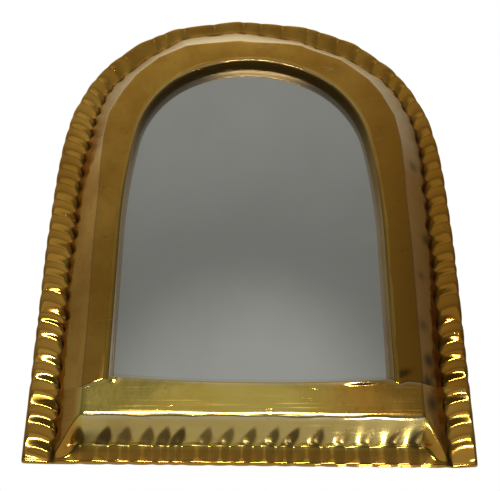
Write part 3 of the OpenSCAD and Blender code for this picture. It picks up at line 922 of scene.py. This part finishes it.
# %% Masks of the arch, and the finished sheet
ARCH_LESS_SHADE_AND_DIRT, LESS_SHADE_AND_DIRT_FROM, LESS_SHADE_AND_DIRT_RUN = 0.4, 170, 35
GAP_SHADE, GAP_AT, GAP_SIZE = 2.0, (63.8, 37.0), (4.2, 1.4)
GAP_COS, GAP_SIN = 0.94, 0.34
BROWN_RIGHT_FROM, BROWN_RIGHT_RUN = 20, 60
PALER, PALE_FROM, PALE_RUN = 0.8, 150, 60
DULL_SHEEN_FROM, DULL_SHEEN_RUN = 130, 60
COVE_EDGE, COVE_FADE_LOW, COVE_FADE_HIGH = 0.5, 1.5, 1.0
RIDGE_WEAR_HIGHLIGHT, RIDGE_WEAR_HIGHLIGHT_W = 0.1, 0.7
SIDE_SPOTS = [(79, 44, 3.0, 0.8), (77, 34, 3.0, 0.9), (77, 60, 3.0, 0.5), (78.5, 84, 2.5, 0.4)]
SIDE_SPOTS += [(84, 104, 3.0, 0.5), (80, 142, 3.0, 0.5), (85, 52, 2.0, 0.4)]


def gap_shade(x, y):
    """Painted shade in the slanted gap where the rail's curled edge stands off the leg."""
    right, up = x - GAP_AT[0], y - GAP_AT[1]
    along = right * GAP_COS + up * GAP_SIN
    above = up * GAP_COS - right * GAP_SIN
    return GAP_SHADE * hill(along / GAP_SIZE[0]) * hill(above / GAP_SIZE[1])


def arch_masks(x, y, s, inset):
    """The arch's masks point by point: the marks of its metal, painted shade and painted highlights."""
    rim_w, ridge = edge_widths(s)
    shading_and_dirt = pit_shade_and_dirt(edge_blows, s, inset, rim_w, side_bow(s))
    shading_and_dirt = shading_and_dirt * (1 - ARCH_LESS_SHADE_AND_DIRT * ease((y - LESS_SHADE_AND_DIRT_FROM) / LESS_SHADE_AND_DIRT_RUN))
    in_cove = ease((inset - rim_w - COVE_EDGE) / COVE_FADE_LOW)
    in_cove = in_cove * (1 - ease((inset - ridge + COVE_EDGE) / COVE_FADE_HIGH))
    paler = 1 - PALER * ease((y - PALE_FROM) / PALE_RUN)
    return {
        # Painted highlight with some wear along the ridge, painted shade with dirt in the dents and the gap,
        # a painted pale sheen on the dull cove.
        "rubbed": RIDGE_WEAR_HIGHLIGHT * hill((inset - ridge) / RIDGE_WEAR_HIGHLIGHT_W),
        "hollow": np.clip(shading_and_dirt + gap_shade(x, y), 0, 1),
        "aged": ease((x - BROWN_RIGHT_FROM) / BROWN_RIGHT_RUN) * paler,
        "green": spots(SIDE_SPOTS, x, y),
        "dull_and_sheen": ease((y - DULL_SHEEN_FROM) / DULL_SHEEN_RUN) * in_cove,
    }


arch_grid = arch_masks(arch_x, arch_y, arch_s, arch_in)
arch_grid["points"] = stand_up(arch_x, arch_y, arch_z)
arch_grid["grain"] = np.stack([arch_s * MM + 0 * arch_in, arch_in * MM, 0 * arch_in], axis=-1)
arch_piece = make_sheet("arch_sheet", [arch_grid], side_brass)
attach(arch_piece, "frame")
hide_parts("arch_surround")

# %% [markdown]
# ## The bottom rail
# The second sheet has both lower corners. Its height is the lower of two profiles, one measured in from
# the sides and one from the foot, so the coves meet in a mitred crease by themselves. It is laid over the
# legs. Along the ridge it has a narrow bevel, which catches the light as one long white line, and near
# its right end the upper edge has lifted into a lip.

# %% Height of the bottom rail
RAIL_SOFT, MITRE_SOFT = 0.4, 0.8
CORNER_CLEAR = 5
KINKS, KINK_LONG, KINK_SHORT = 0.35, 11, 5.3
END_WALL, END_WALL_FROM = 0.8, 0.6
CREST_W, CREST_UP, CREST_HALF, CREST_SLANT = 7.0, 0.6, 2.2, 0.4
CREST_TOP = 4
RIGHT_CREST = 0.4
RAIL_RISE, RAIL_SWELL, RAIL_WAVE, RAIL_WAVE_L = 0.35, 0.3, 0.12, 8
LAP_LIFT, LAP_RUN = 0.35, 3
BEVEL, BEVEL_W = np.tan(np.radians(7.5)), 2.0
NICK, NICK_AT, NICK_R = 0.5, (-60.5, 34), 1.4
LIP, LIP_W, LIP_AT, LIP_LENGTH = 0.64, 2.2, 47, 9
HEM_CLEAR = 3


def clear_of_hem(y):
    """0 close to the hem, and 1 from twice that height on."""
    return ease((y - HEM_CLEAR) / HEM_CLEAR)


def from_side(x, y):
    """Inset from the nearer side, and distance along the edge, of a point of the rail."""
    return HALF_W - np.abs(x), np.where(x > 0, y, EDGE.length - y)


def past_crest(x, y):
    """Distance outwards from the crest in which the side's cove ends at a lower corner."""
    return np.abs(x) - (RIDGE_X + CREST_SLANT * np.maximum(RIDGE_FOOT - y, 0))


def foot_height(x, y):
    """Rim and cove along the foot, which end in a low wall at both corners."""
    kinks = KINKS * np.sin(x / KINK_LONG) * np.sin(x / KINK_SHORT + 1)
    low = hammered(foot_blows, x, y, RIM_FOOT, RIDGE_FOOT + kinks, FOOT)
    end_wall = HEM_Z + END_WALL * np.maximum(y - END_WALL_FROM, 0)
    return low + (np.maximum(end_wall, low) - low) * ease(past_crest(x, y) / CREST_W + 0.5)


def rail_band(x, y):
    """The raised band of the rail, with its bevel, the lap over the legs, a nick and the lifted lip."""
    side_in, side_s = from_side(x, y)
    share = np.clip((y - RIDGE_FOOT) / (OPENING_Y - RIDGE_FOOT), 0, 1)
    middle = np.sin(np.pi * share)
    band = BAND_Z + RAIL_RISE * share + RAIL_SWELL * middle + RAIL_WAVE * np.sin(x / RAIL_WAVE_L) * middle
    band = band + LAP_LIFT * ease((side_in - edge_widths(side_s)[1] + LAP_RUN) / LAP_RUN)
    band = band - BEVEL * np.maximum(RIDGE_FOOT + BEVEL_W - y, 0)
    band = band + NICK * hill(np.hypot(x - NICK_AT[0], y - NICK_AT[1]) / NICK_R)
    return band + LIP * ease((y - seam_y(x) + LIP_W) / LIP_W) * hill((x - LIP_AT) / LIP_LENGTH)


def rail_height(x, y):
    """Height of the rail's face."""
    side_in, side_s = from_side(x, y)
    rim_w, ridge = edge_widths(side_s)
    strength = ease(y / CORNER_CLEAR)
    bow, relief = side_bow(side_s), side_relief(y)
    side = hammered(edge_blows, side_s, side_in, rim_w, ridge, SIDE, bow, strength, relief)
    crest = hill(past_crest(x, y) / CREST_HALF) * clear_of_hem(y)
    crest = crest * (1 - ease((y - RIDGE_FOOT + CREST_TOP) / CREST_TOP))
    height = soft_min(side, foot_height(x, y), MITRE_SOFT)
    height = height + CREST_UP * crest * np.where(x < 0, 1.0, RIGHT_CREST)
    return soft_min(height, rail_band(x, y), RAIL_SOFT)


across_rail = rail_height(np.array(0.0), np.array([1.0, RIM_FOOT, RIDGE_FOOT, 30.0]))
print("height at the hem, rim, ridge and band, mm:", across_rail.round(1))

# %% [markdown]
# ## Painted shade, painted highlights, dirt and wear of the rail
# The rail's brass is brighter than the sides', and wear with a painted highlight runs along its ridge and
# along the seam, with a faint painted sheen on the foot's cove. Its two ends are parts of the sides, so
# they carry the sides' painted shade and dirt and their browner colour, with a soft change where the
# foot's dents begin. Painted shade darkens the streaks over the foot and the hollow beside each corner
# crest. A few green spots lie on the band and in the corners, and those in the corners also paint shade.

# %% Masks of the bottom rail
FIELD_FROM, FIELD_RUN = 21, 5
# Painted shade in the hollow beside each corner crest.
CORNER_SHADE, CORNER_BACK, CORNER_W = 0.8, 4.0, 3.0
CORNER_TOP, CORNER_TOP_RUN = 9, 5
AGED_SIDE, AGED_SIDE_RUN = 22, 5
AGED_RIM_RUN = 2.5
BROWN_END_FROM, BROWN_END_RUN, BROWN_RISE = 15, 35, 2
WEAR_HIGHLIGHT_W, WEAR_HIGHLIGHT_FROM = 0.8, 27
COVE_SHEEN, COVE_RUN, COVE_TOP = 0.4, 2, 1
# Green spots. The last four also paint shade into the lower corners.
RAIL_SPOTS_AND_CORNER_SHADE = [(-49, 28, 6, 0.30), (-58, 12, 5, 0.3), (-66, 10, 4, 0.3), (60, 27, 6, 0.35), (45, 12, 4, 0.3)]
RAIL_SPOTS_AND_CORNER_SHADE += [(79, 25, 4.0, 0.9), (70, 13, 4.0, 0.9), (84, 12, 3.0, 0.7), (-71, 10, 3.5, 0.5)]


def rail_shade_and_dirt(x, y):
    """Painted shade and dirt in the dents of the ends, and painted shade in the streaks over the foot and
    beside the corner crests.
    """
    side_in, side_s = from_side(x, y)
    in_field = ease((side_in - FIELD_FROM) / FIELD_RUN)
    side_shade_and_dirt = pit_shade_and_dirt(edge_blows, side_s, side_in, edge_widths(side_s)[0], side_bow(side_s))
    shading_and_dirt = foot_streaks(x, y) * in_field + side_shade_and_dirt * (1 - in_field)
    corner = hill((past_crest(x, y) + CORNER_BACK) / CORNER_W) * clear_of_hem(y)
    corner = corner * (1 - ease((y - CORNER_TOP) / CORNER_TOP_RUN))
    return np.clip(shading_and_dirt + CORNER_SHADE * corner, 0, 1)


def rail_aged(x, y):
    """Where the rail is as brown as the sides: its ends, its rim and the right part of the band."""
    side_in, _ = from_side(x, y)
    on_side = 1 - ease((side_in - AGED_SIDE) / AGED_SIDE_RUN)
    on_rim = 1 - ease((y - RIM_FOOT + AGED_RIM_RUN) / AGED_RIM_RUN)
    right = ease((x - BROWN_END_FROM) / BROWN_END_RUN) * ease((y - RIDGE_FOOT) / BROWN_RISE)
    return np.maximum(np.maximum(on_side, on_rim), right)


def rail_rubbed(x, y):
    """Wear and a painted highlight along the ridge and the seam, and a faint painted sheen on the foot's
    cove.
    """
    side_in, _ = from_side(x, y)
    lines = hill((y - RIDGE_FOOT) / WEAR_HIGHLIGHT_W) + hill((seam_y(x) - y) / WEAR_HIGHLIGHT_W)
    cove = COVE_SHEEN * ease((y - RIM_FOOT) / COVE_RUN) * (1 - ease((y - RIDGE_FOOT + COVE_TOP) / COVE_RUN))
    return (lines + cove) * (side_in > WEAR_HIGHLIGHT_FROM)


print("streaks over the foot's middle:", foot_streaks(np.array([0.0]), np.array([RIM_FOOT + 1])).round(2))

# %% [markdown]
# ## Rounded corners
# The pressed sheet can't have a sharp corner in plan, so both lower corners of the rail are rounded. Each
# point near a corner is drawn in from the square towards a quarter circle, which keeps the grid whole.

# %% Round the lower corners
CORNER_R = 2.0


def rounded_corner(x, y):
    """Rounds both lower corners in plan."""
    u = np.clip(1 - (HALF_W - np.abs(x)) / CORNER_R, 0, 1)
    v = np.clip(1 - y / CORNER_R, 0, 1)
    new_u = u * np.sqrt(1 - v * v / 2)
    new_v = v * np.sqrt(1 - u * u / 2)
    return x - np.sign(x) * (u - new_u) * CORNER_R, y + (v - new_v) * CORNER_R


corner = rounded_corner(HALF_W, 0.0)
print("the lower right corner comes to", round(float(corner[0]), 1), round(float(corner[1]), 1), "mm")

# %% [markdown]
# ## Edges of the rail
# A sheet shows its edges: the hem folded round the foot and both ends, the rolled edge under the opening
# with the wall that goes down to the glass, and the cut edge where the rail lies on the legs. Each is a
# narrow grid that starts from the outer row of the face, so no gap can open between them.

# %% Hem, wall and cut edge of the rail
GLASS_Z = 10.8
CORNER_SHARE = 0.6
FOOT_BELOW = 0.3
# A faint painted highlight with some wear on the hem.
HEM_WEAR_HIGHLIGHT = 0.2
WALL_LEFT, WALL_RIGHT = -62.2, 61.4
# Painted shade on the rail's wall down to the glass.
RAIL_WALL_SHADE = 0.3
ROLLED_EDGE = [(0, 0), (0.3, -0.06), (0.5, -0.25), (0.55, -0.6), (0.55, -1.2), (0.55, -14.0)]
LAP_OUT, LAP_DOWN = [[0, 0.08, 0.1]], [[0, -0.12, -0.6]]
SIDE_LAP_OUT, SIDE_LAP_DOWN = [[0, 0.25, 0.5]], [[0, -0.02, -0.1]]
# A painted highlight with some wear on the cut edge over the band.
LAP_WEAR_HIGHLIGHT = 0.5


def edge_grid(x, y, z, along, across, **masks):
    """The grid of a narrow edge, with its grain along and across it."""
    zero = 0 * z + 0 * x
    grain = np.stack([along * MM + zero, across * MM + zero, zero], axis=-1)
    return {"points": stand_up(x, y, z), "grain": grain, "aged": 1.0, **masks}


def hem_of_rail(px, py, z):
    """The hem, from the back round the outer edge to the face, along the left, foot and right edges."""
    path_x = np.concatenate([px[0, ::-1], px[1:, 0], px[-1, 1:]])[:, None]
    path_y = np.concatenate([py[0, ::-1], py[1:, 0], py[-1, 1:]])[:, None]
    path_z = np.concatenate([z[0, ::-1], z[1:, 0], z[-1, 1:]])[:, None]
    hem = np.array(HEM_PROFILE + [(FIRST_IN / HEM_BACK, 1.0)])
    inset = hem[None, :, 0] * HEM_BACK
    side = np.abs(path_x) >= HALF_W - FIRST_IN - CORNER_SHARE * CORNER_R
    foot = path_y <= FIRST_IN + CORNER_SHARE * CORNER_R + FOOT_BELOW
    shift = inset - FIRST_IN
    x = path_x - np.sign(path_x) * shift * side
    y = path_y + shift * foot
    mitre = np.minimum(HALF_W - inset, np.abs(x))
    x = np.where(foot & ~side, np.sign(path_x) * mitre, x)
    y = np.where(side & ~foot, np.maximum(inset, y), y)
    return edge_grid(x, y, hem[None, :, 1] * path_z, path_x, inset, rubbed=HEM_WEAR_HIGHLIGHT)


def wall_of_rail(x, z):
    """The rolled edge under the opening and the wall that goes down from it to the glass."""
    inside = (x[:, 0] > WALL_LEFT) & (x[:, 0] < WALL_RIGHT)
    bx = x[inside, -1][:, None]
    bz = z[inside, -1][:, None]
    out, down = np.array(ROLLED_EDGE).T[:, None, :]
    y = seam_y(bx) + out
    height = np.maximum(bz + down, GLASS_Z)
    # The wall gets painted shade.
    return edge_grid(bx, y, height, bx, -down, hollow=RAIL_WALL_SHADE, aged=0.0, flip=True)


def lap_of_rail(x, y, z):
    """The cut edge of the rail where it lies on the legs."""
    bx, by, bz = x[:, -1][:, None], y[:, -1][:, None], z[:, -1][:, None]
    on_side = np.abs(bx) >= RIDGE_X
    on_band = ((bx < WALL_LEFT) | (bx > WALL_RIGHT)) & ~on_side
    out = np.where(on_side, SIDE_LAP_OUT, LAP_OUT)
    height = bz + np.where(on_band, LAP_DOWN, 0) + np.where(on_side, SIDE_LAP_DOWN, 0)
    return edge_grid(bx, by + out, height, bx, by, rubbed=LAP_WEAR_HIGHLIGHT * on_band, flip=True)


print("the hem is folded back by", HEM_BACK, "mm")

# %% [markdown]
# ## Putting the rail together
# The face is one grid, fine over the dents and ending exactly on the seam. Its lower edge isn't straight:
# it hangs a little lower at the right end, and is drawn in at every dent. The edges join it in one sheet.

# %% Build the bottom rail
RAIL_STEP, ROW_STEP, FIXED_TO, TOP_ROWS = 0.5, 0.42, 24.0, 30
FOOT_HANGS, FOOT_SLANT = 1.0, 0.5
FOOT_PULL, FOOT_PULL_W = 0.25, 2.0
HANG_RUN = 9
END_HANG, HANG_GAIN, END_RUN = 0.7, 0.3, 12


def rail_grid():
    """Columns across the rail, with even rows over the dents and then rows that end on the seam."""
    x = np.arange(-HALF_W + FIRST_IN, HALF_W - FIRST_IN + 0.01, RAIL_STEP)[:, None]
    low_y = np.arange(FIRST_IN, FIXED_TO, ROW_STEP)[None, :]
    top_y = FIXED_TO + np.linspace(0, 1, TOP_ROWS)[None, :] * (seam_y(x) - FIXED_TO)
    y = np.concatenate([low_y + 0 * x, top_y], axis=1)
    return x + 0 * y, y


def hung_foot(x, y):
    """How far the lower edge hangs below the line that it was drawn on."""
    off, _, _, _ = foot_blows.near(x)
    hang = FOOT_HANGS + FOOT_SLANT * x / HALF_W - FOOT_PULL * hill(off / FOOT_PULL_W)
    at_ends = END_HANG + HANG_GAIN * ease((HALF_W - np.abs(x)) / END_RUN)
    return hang * (1 - ease(y / HANG_RUN)) * at_ends


def rail_sheet(material):
    """The whole rail: face, hem, wall under the opening and cut edge."""
    x, y = rail_grid()
    z = rail_height(x, y)
    px, py = rounded_corner(x, y)
    py = py - hung_foot(x, y)
    grain = np.stack([x * MM, y * MM, 0 * x], axis=-1)
    face = {"points": stand_up(px, py, z), "grain": grain, "flip": True}
    face["rubbed"], face["hollow"] = rail_rubbed(x, y), rail_shade_and_dirt(x, y)
    face["aged"], face["green"] = rail_aged(x, y), spots(RAIL_SPOTS_AND_CORNER_SHADE, x, y)
    edges = [hem_of_rail(px, py, z), wall_of_rail(x, z), lap_of_rail(x, y, z)]
    return make_sheet("bottom_sheet", [face] + edges, material)


rail_piece = rail_sheet(rail_brass)
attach(rail_piece, "frame")
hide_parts("bottom_rail")

# %% [markdown]
# ## The wall of the opening
# A bent strip lines the opening. Its front edge is folded over the band and shows as a thin bright line,
# partly a painted highlight; its wall goes down to the glass, and its foot flares inwards over the arch. It
# is one grid: along the opening, and across the strip's own profile from the fold to the foot.

# %% Shape of the opening's wall
WALL_STEP, WALL_SOFT_LENGTH = 0.8, 1.5
STRIP_BELOW_SEAM = 1.5
FOLD_W = 2.2
STRIP_PROFILE = [(-FOLD_W, 0.0), (-FOLD_W, 0.1), (-FOLD_W + 0.25, 0.17), (-1.2, 0.2), (-0.5, 0.22)]
STRIP_PROFILE += [(-0.15, 0.25), (0.05, 0.0), (0.12, -0.35), (0.2, -1.0), (0.46, -2.5), (0.74, -4.0)]
STRIP_PROFILE += [(0.95, -5.4), (1.02, -6.4), (1.05, -7.6)]
FOLD_WAVES, FOLD_WOBBLE = [(0.12, 6.1, 0), (0.08, 2.7, 2)], 1.5
OVER_FROM, OVER_RUN = 110, 70
WALL_TOP, FOLD_INNER = -0.5, -2
RIPPLE, RIPPLE_L, RIPPLE_DRIFT, RIPPLE_DRIFT_L, RIPPLE_DOWN = 0.05, 0.9, 2, 3.1, 1.1
LEAN_LEFT, LEAN_RUN = 0.2, 7


def strip_rows():
    """The line of the opening down to the seam: distance, place and the way inwards."""
    s = np.arange(0, OPENING.length + WALL_STEP / 2, WALL_STEP)
    x, y = OPENING.at(s)
    dx = smoothed(np.gradient(x), WALL_SOFT_LENGTH, WALL_STEP)
    dy = smoothed(np.gradient(y), WALL_SOFT_LENGTH, WALL_STEP)
    size = np.hypot(dx, dy)
    keep = y > OPENING_Y - STRIP_BELOW_SEAM
    return (v[keep][:, None] for v in (s, x + OPENING_SHIFT, y, -dy / size, dx / size))


def strip_inward(s, inward, up, over):
    """How far in the strip stands: flared and rippled on the wall, a little uneven along the fold."""
    on_wall = up < WALL_TOP
    inward = np.where(on_wall, inward * over, inward)
    drift = RIPPLE_DRIFT * np.sin(s / RIPPLE_DRIFT_L)
    ripple = RIPPLE * np.sin(s / RIPPLE_L + drift) * np.sin(up * RIPPLE_DOWN)
    return inward + ripple * on_wall + waves(s, FOLD_WAVES) * (inward < FOLD_INNER) * FOLD_WOBBLE


print("the fold is", FOLD_W, "mm wide and the wall", -STRIP_PROFILE[-1][1], "mm deep")

# %% [markdown]
# ## Painted shade on the opening's wall
# Over the arch the wall is in shadow, and painted shade makes it almost black; along both sides it gets
# only a little painted shade, and painted shade makes the fold there browner than the bright line over
# the arch, which is a painted highlight. Painted shade darkens the seam at the glass all round.

# %% Build the opening's wall
ARCH_WALL_SHADE, SIDE_WALL_SHADE, WALL_SHADE_FROM, WALL_SHADE_RUN = 0.95, 0.05, 0.4, 0.8
GLASS_SEAM_SHADE, GLASS_SEAM_AT, GLASS_SEAM_W = 0.5, 7.1, 0.5
FOLD_HIGHLIGHT, FOLD_HIGHLIGHT_AT, FOLD_HIGHLIGHT_W = 0.6, 0.2, 0.3
HIGHLIGHT_FROM, HIGHLIGHT_TO = -0.7, 0.2
FOLD_SHADE, FOLD_LOW, FOLD_BACK = 0.55, -0.3, -1.0


def reveal_strip(material):
    """The strip as one grid, from its fold over the band to its foot on the glass."""
    s, x, y, nx, ny = strip_rows()
    inward, up = np.array(STRIP_PROFILE).T[:, None, :]
    over = ease((y - OVER_FROM) / OVER_RUN)
    inward = strip_inward(s, inward, up, over)
    z = np.maximum(band_height(1.0, s) + up, GLASS_Z)
    lean = LEAN_LEFT * np.clip(-up / LEAN_RUN, 0, 1)
    grain = np.stack([s * MM + 0 * z, -up * MM + 0 * z, 0 * z], axis=-1)
    # Painted highlight on the fold over the arch, and painted shade on the wall, at the glass and on the
    # side folds.
    fold_highlight = hill((up - FOLD_HIGHLIGHT_AT) / FOLD_HIGHLIGHT_W) * (inward > HIGHLIGHT_FROM) * (inward < HIGHLIGHT_TO)
    shading_and_dirt = (ARCH_WALL_SHADE * over + SIDE_WALL_SHADE) * ease((-up - WALL_SHADE_FROM) / WALL_SHADE_RUN)
    shading_and_dirt = shading_and_dirt + GLASS_SEAM_SHADE * hill((up + GLASS_SEAM_AT) / GLASS_SEAM_W)
    on_fold = (up > FOLD_LOW) & (inward > FOLD_BACK)
    grid = {"points": stand_up(x + nx * inward - lean, y + ny * inward, z), "grain": grain}
    grid["rubbed"] = FOLD_HIGHLIGHT * fold_highlight * over
    grid["hollow"] = np.clip(shading_and_dirt + FOLD_SHADE * (1 - over) * on_fold, 0, 1)
    return make_sheet("opening_wall", [grid], material)


wall_piece = reveal_strip(reveal_brass)
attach(wall_piece, "frame")
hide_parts("reveal_strip")

# %% [markdown]
# ## Glass, board and back
# The remaining pieces have the right shape already, so they only get finishes. The mirror's silvering is
# old, so it reflects softly and greyly, and never quite sharply. The board behind it is plain softwood,
# and the back plate, clips, strap, rivets and ring are dull brass.

# %% Finish the pieces that keep their solids
SILVER, HAZED_SILVER = (0.75, 0.765, 0.70, 1), (0.68, 0.69, 0.63, 1)
SILVER_ROUGH, HAZE_ROUGH = 0.09, 0.03
EARLY_WOOD, LATE_WOOD, WOOD_FIBRE = (0.58, 0.42, 0.25, 1), (0.46, 0.30, 0.16, 1), (0.36, 0.24, 0.13, 1)


def old_mirror():
    """Old silvering: a soft grey mirror with faint clouds."""
    material = bpy.data.materials.new("old mirror")
    material.use_nodes = True
    tree = material.node_tree
    shader = tree.nodes["Principled BSDF"]
    shader.inputs["Metallic"].default_value = 0.9
    place_at = add(tree, "ShaderNodeTexCoord").outputs["Object"]
    haze = place(tree, clouds, Size=14.0, From=0.3, To=0.75)
    tree.links.new(place_at, haze.inputs["Vector"])
    tree.links.new(mix(tree, haze.outputs["Mask"], SILVER, HAZED_SILVER), shader.inputs["Base Color"])
    rough = times_plus(tree, haze.outputs["Mask"], HAZE_ROUGH, SILVER_ROUGH)
    tree.links.new(rough, shader.inputs["Roughness"])
    return material


def softwood():
    """A plain softwood board: growth rings, and fibres along them."""
    material = bpy.data.materials.new("softwood board")
    material.use_nodes = True
    tree = material.node_tree
    shader = tree.nodes["Principled BSDF"]
    place_at = add(tree, "ShaderNodeTexCoord").outputs["Object"]
    rings = add(tree, "ShaderNodeTexWave", {"Vector": place_at}, Scale=45.0, Distortion=3.0, Detail=3.0)
    rings.bands_direction = "X"
    fibre = place(tree, scratches, Across=1600.0, Along=30.0, Amount=1.0)
    tree.links.new(place_at, fibre.inputs["Vector"])
    grown = mix(tree, rings.outputs["Fac"], EARLY_WOOD, LATE_WOOD)
    tree.links.new(mix(tree, fibre.outputs["Mask"], grown, WOOD_FIBRE), shader.inputs["Base Color"])
    shader.inputs["Roughness"].default_value = 0.8
    return material


finishes = {"mirror_glass": old_mirror(), "backing_board": softwood(), "back_plate": back_brass}
for name in ("glass_clips", "hanger_strap", "strap_rivets", "hanging_ring"):
    finishes[name] = small_brass
for name, material in finishes.items():
    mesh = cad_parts[name].data
    mesh.materials.clear()
    mesh.materials.append(material)
print("finished the solids of", len(finishes), "pieces")

# %% [markdown]
# ## The studio sky
# Metal looks like what it reflects, so the light matters more than the colour. The sky is a soft grey
# ramp, dim at eye level and brighter overhead and behind. It could be a panorama picture, but a few
# plain steps of grey are enough for soft reflections. In front of the mirror, low down, there is a pale
# round glow, which the glass shows as a haze. The background is white to the camera alone.

# %% Build the studio sky
SKY_STOPS = [(0.0, 0.05), (0.25, 0.06), (0.44, 0.12), (0.54, 0.16), (0.61, 0.165), (0.66, 0.18)]
SKY_STOPS += [(0.72, 0.24), (0.77, 0.29), (0.81, 0.30), (0.90, 0.42), (1.0, 0.8)]
ACROSS_SPAN, LEFT_LIGHT, RIGHT_DIMS = (-0.7, 0.7), 1.1, -0.2
AHEAD_SPAN, AHEAD_DIMS = (-0.9, -0.3), -0.28
BEHIND_SPAN, BEHIND_LIGHT = (0.0, 0.6), 1.6
GLOW_AT = Vector((0.044, -1.0, 0.06)).normalized()
GLOW, GLOW_OUTER, GLOW_INNER = 0.21, np.radians(16), np.radians(6)


def share_between(tree, value, low, high):
    """0 at low and 1 at high, in a straight line."""
    node = add(tree, "ShaderNodeMapRange", {"Value": value}, From_Min=low, From_Max=high)
    return node.outputs["Result"]


def product(tree, first, second):
    """One value times another."""
    return add(tree, "ShaderNodeMath", {0: first, 1: second}, operation="MULTIPLY").outputs["Value"]


def grey_ramp(tree, height):
    """The grey of the sky at each height."""
    ramp = add(tree, "ShaderNodeValToRGB", {"Fac": height})
    elements = ramp.color_ramp.elements
    for stop, _ in SKY_STOPS[1:-1]:
        elements.new(stop)
    for element, (stop, grey) in zip(elements, SKY_STOPS):
        element.position = stop
        element.color = (grey, grey, grey, 1)
    return ramp.outputs["Color"]


def studio_sky():
    """The sky that the brass and the glass reflect, and the white that the camera sees behind them."""
    world = bpy.data.worlds.new("studio sky")
    bpy.context.scene.world = world
    world.use_nodes = True
    tree = world.node_tree
    tree.nodes.clear()
    way = add(tree, "ShaderNodeTexCoord").outputs["Generated"]
    parts = add(tree, "ShaderNodeSeparateXYZ", {"Vector": way})
    greys = grey_ramp(tree, share_between(tree, parts.outputs["Z"], -1.0, 1.0))
    right = share_between(tree, parts.outputs["X"], *ACROSS_SPAN)
    ahead = share_between(tree, parts.outputs["Y"], *AHEAD_SPAN)
    behind = share_between(tree, parts.outputs["Y"], *BEHIND_SPAN)
    side = times_plus(tree, right, RIGHT_DIMS, LEFT_LIGHT)
    side = product(tree, side, times_plus(tree, ahead, AHEAD_DIMS, 1.0))
    level = product(tree, side, times_plus(tree, behind, BEHIND_LIGHT, 1.0))
    shaded = add(tree, "ShaderNodeVectorMath", {0: greys, "Scale": level}, operation="SCALE")
    towards = add(tree, "ShaderNodeVectorMath", {0: way}, operation="DOT_PRODUCT")
    towards.inputs[1].default_value = GLOW_AT
    glow = smooth_step(tree, towards.outputs["Value"], np.cos(GLOW_OUTER), np.cos(GLOW_INNER))
    both = {0: shaded.outputs["Vector"], 1: times_plus(tree, glow, GLOW, 0.0)}
    lit = add(tree, "ShaderNodeVectorMath", both, operation="ADD")
    grey = add(tree, "ShaderNodeBackground", {"Color": lit.outputs["Vector"]})
    white = add(tree, "ShaderNodeBackground", Color=(1, 1, 1, 1), Strength=1.0)
    seen = add(tree, "ShaderNodeLightPath").outputs["Is Camera Ray"]
    sky = {"Fac": seen, 1: grey.outputs[0], 2: white.outputs[0]}
    shown = add(tree, "ShaderNodeMixShader", sky)
    add(tree, "ShaderNodeOutputWorld", {"Surface": shown.outputs[0]})
    return world


print("sky:", studio_sky().name, "with", len(SKY_STOPS), "greys")

# %% [markdown]
# ## Lights and the table
# Three soft lights add what the sky can't. A wide low panel gives the white line along the ridge and the
# glints in the dents, a faint one overhead gives the dull cove over the arch its sheen, and a small card
# under the right end lights the lower right corner. The frame hangs over a pale table top, which the
# lower cove reflects.

# %% Place the lights and the table
WARM = (1.0, 0.97, 0.92)
LIGHTS = {
    "panel": dict(at=(0.0, -1.2, -0.44), aim=(0, 0, -0.05), width=0.60, height=0.05, power=5.6),
    "overhead": dict(at=(0.0, 0.25, 0.9), aim=(0, 0, -0.3), width=0.5, height=0.3, power=0.15),
    "card": dict(at=(0.10, -0.01, -0.29), aim=(0.1, -0.01, 0), width=0.035, height=0.04, power=0.11),
}
TABLE_SIDE, TABLE_FRONT, TABLE_BACK, TABLE_Z = 0.45, -0.20, 0.30, -0.30
TABLE_COLOUR, TABLE_ROUGH = (0.80, 0.78, 0.74, 1), 0.9


def soft_light(name, at, aim, width, height, power):
    """A rectangular light that the camera doesn't see."""
    data = bpy.data.lights.new(name, "AREA")
    data.shape = "RECTANGLE"
    data.size, data.size_y = width, height
    data.energy = power
    data.color = WARM
    lamp = bpy.data.objects.new(name, data)
    bpy.context.scene.collection.objects.link(lamp)
    lamp.location = at
    lamp.rotation_mode = "QUATERNION"
    lamp.rotation_quaternion = (Vector(aim) - Vector(at)).to_track_quat("-Z", "Y")
    lamp.visible_camera = False
    return lamp


def studio_table():
    """The pale table top below the frame."""
    mesh = bpy.data.meshes.new("studio_table")
    sides = [(-TABLE_SIDE, TABLE_FRONT), (TABLE_SIDE, TABLE_FRONT), (TABLE_SIDE, TABLE_BACK)]
    sides += [(-TABLE_SIDE, TABLE_BACK)]
    mesh.from_pydata([(x, y, TABLE_Z) for x, y in sides], [], [(0, 1, 2, 3)])
    material = bpy.data.materials.new("pale table")
    material.use_nodes = True
    shader = material.node_tree.nodes["Principled BSDF"]
    shader.inputs["Base Color"].default_value = TABLE_COLOUR
    shader.inputs["Roughness"].default_value = TABLE_ROUGH
    mesh.materials.append(material)
    table = bpy.data.objects.new("studio_table", mesh)
    bpy.context.scene.collection.objects.link(table)
    return table


studio_table()
lamps = [soft_light(name, **values) for name, values in LIGHTS.items()]
bpy.context.scene.view_settings.view_transform = "Standard"
print("lights:", [lamp.name for lamp in lamps])
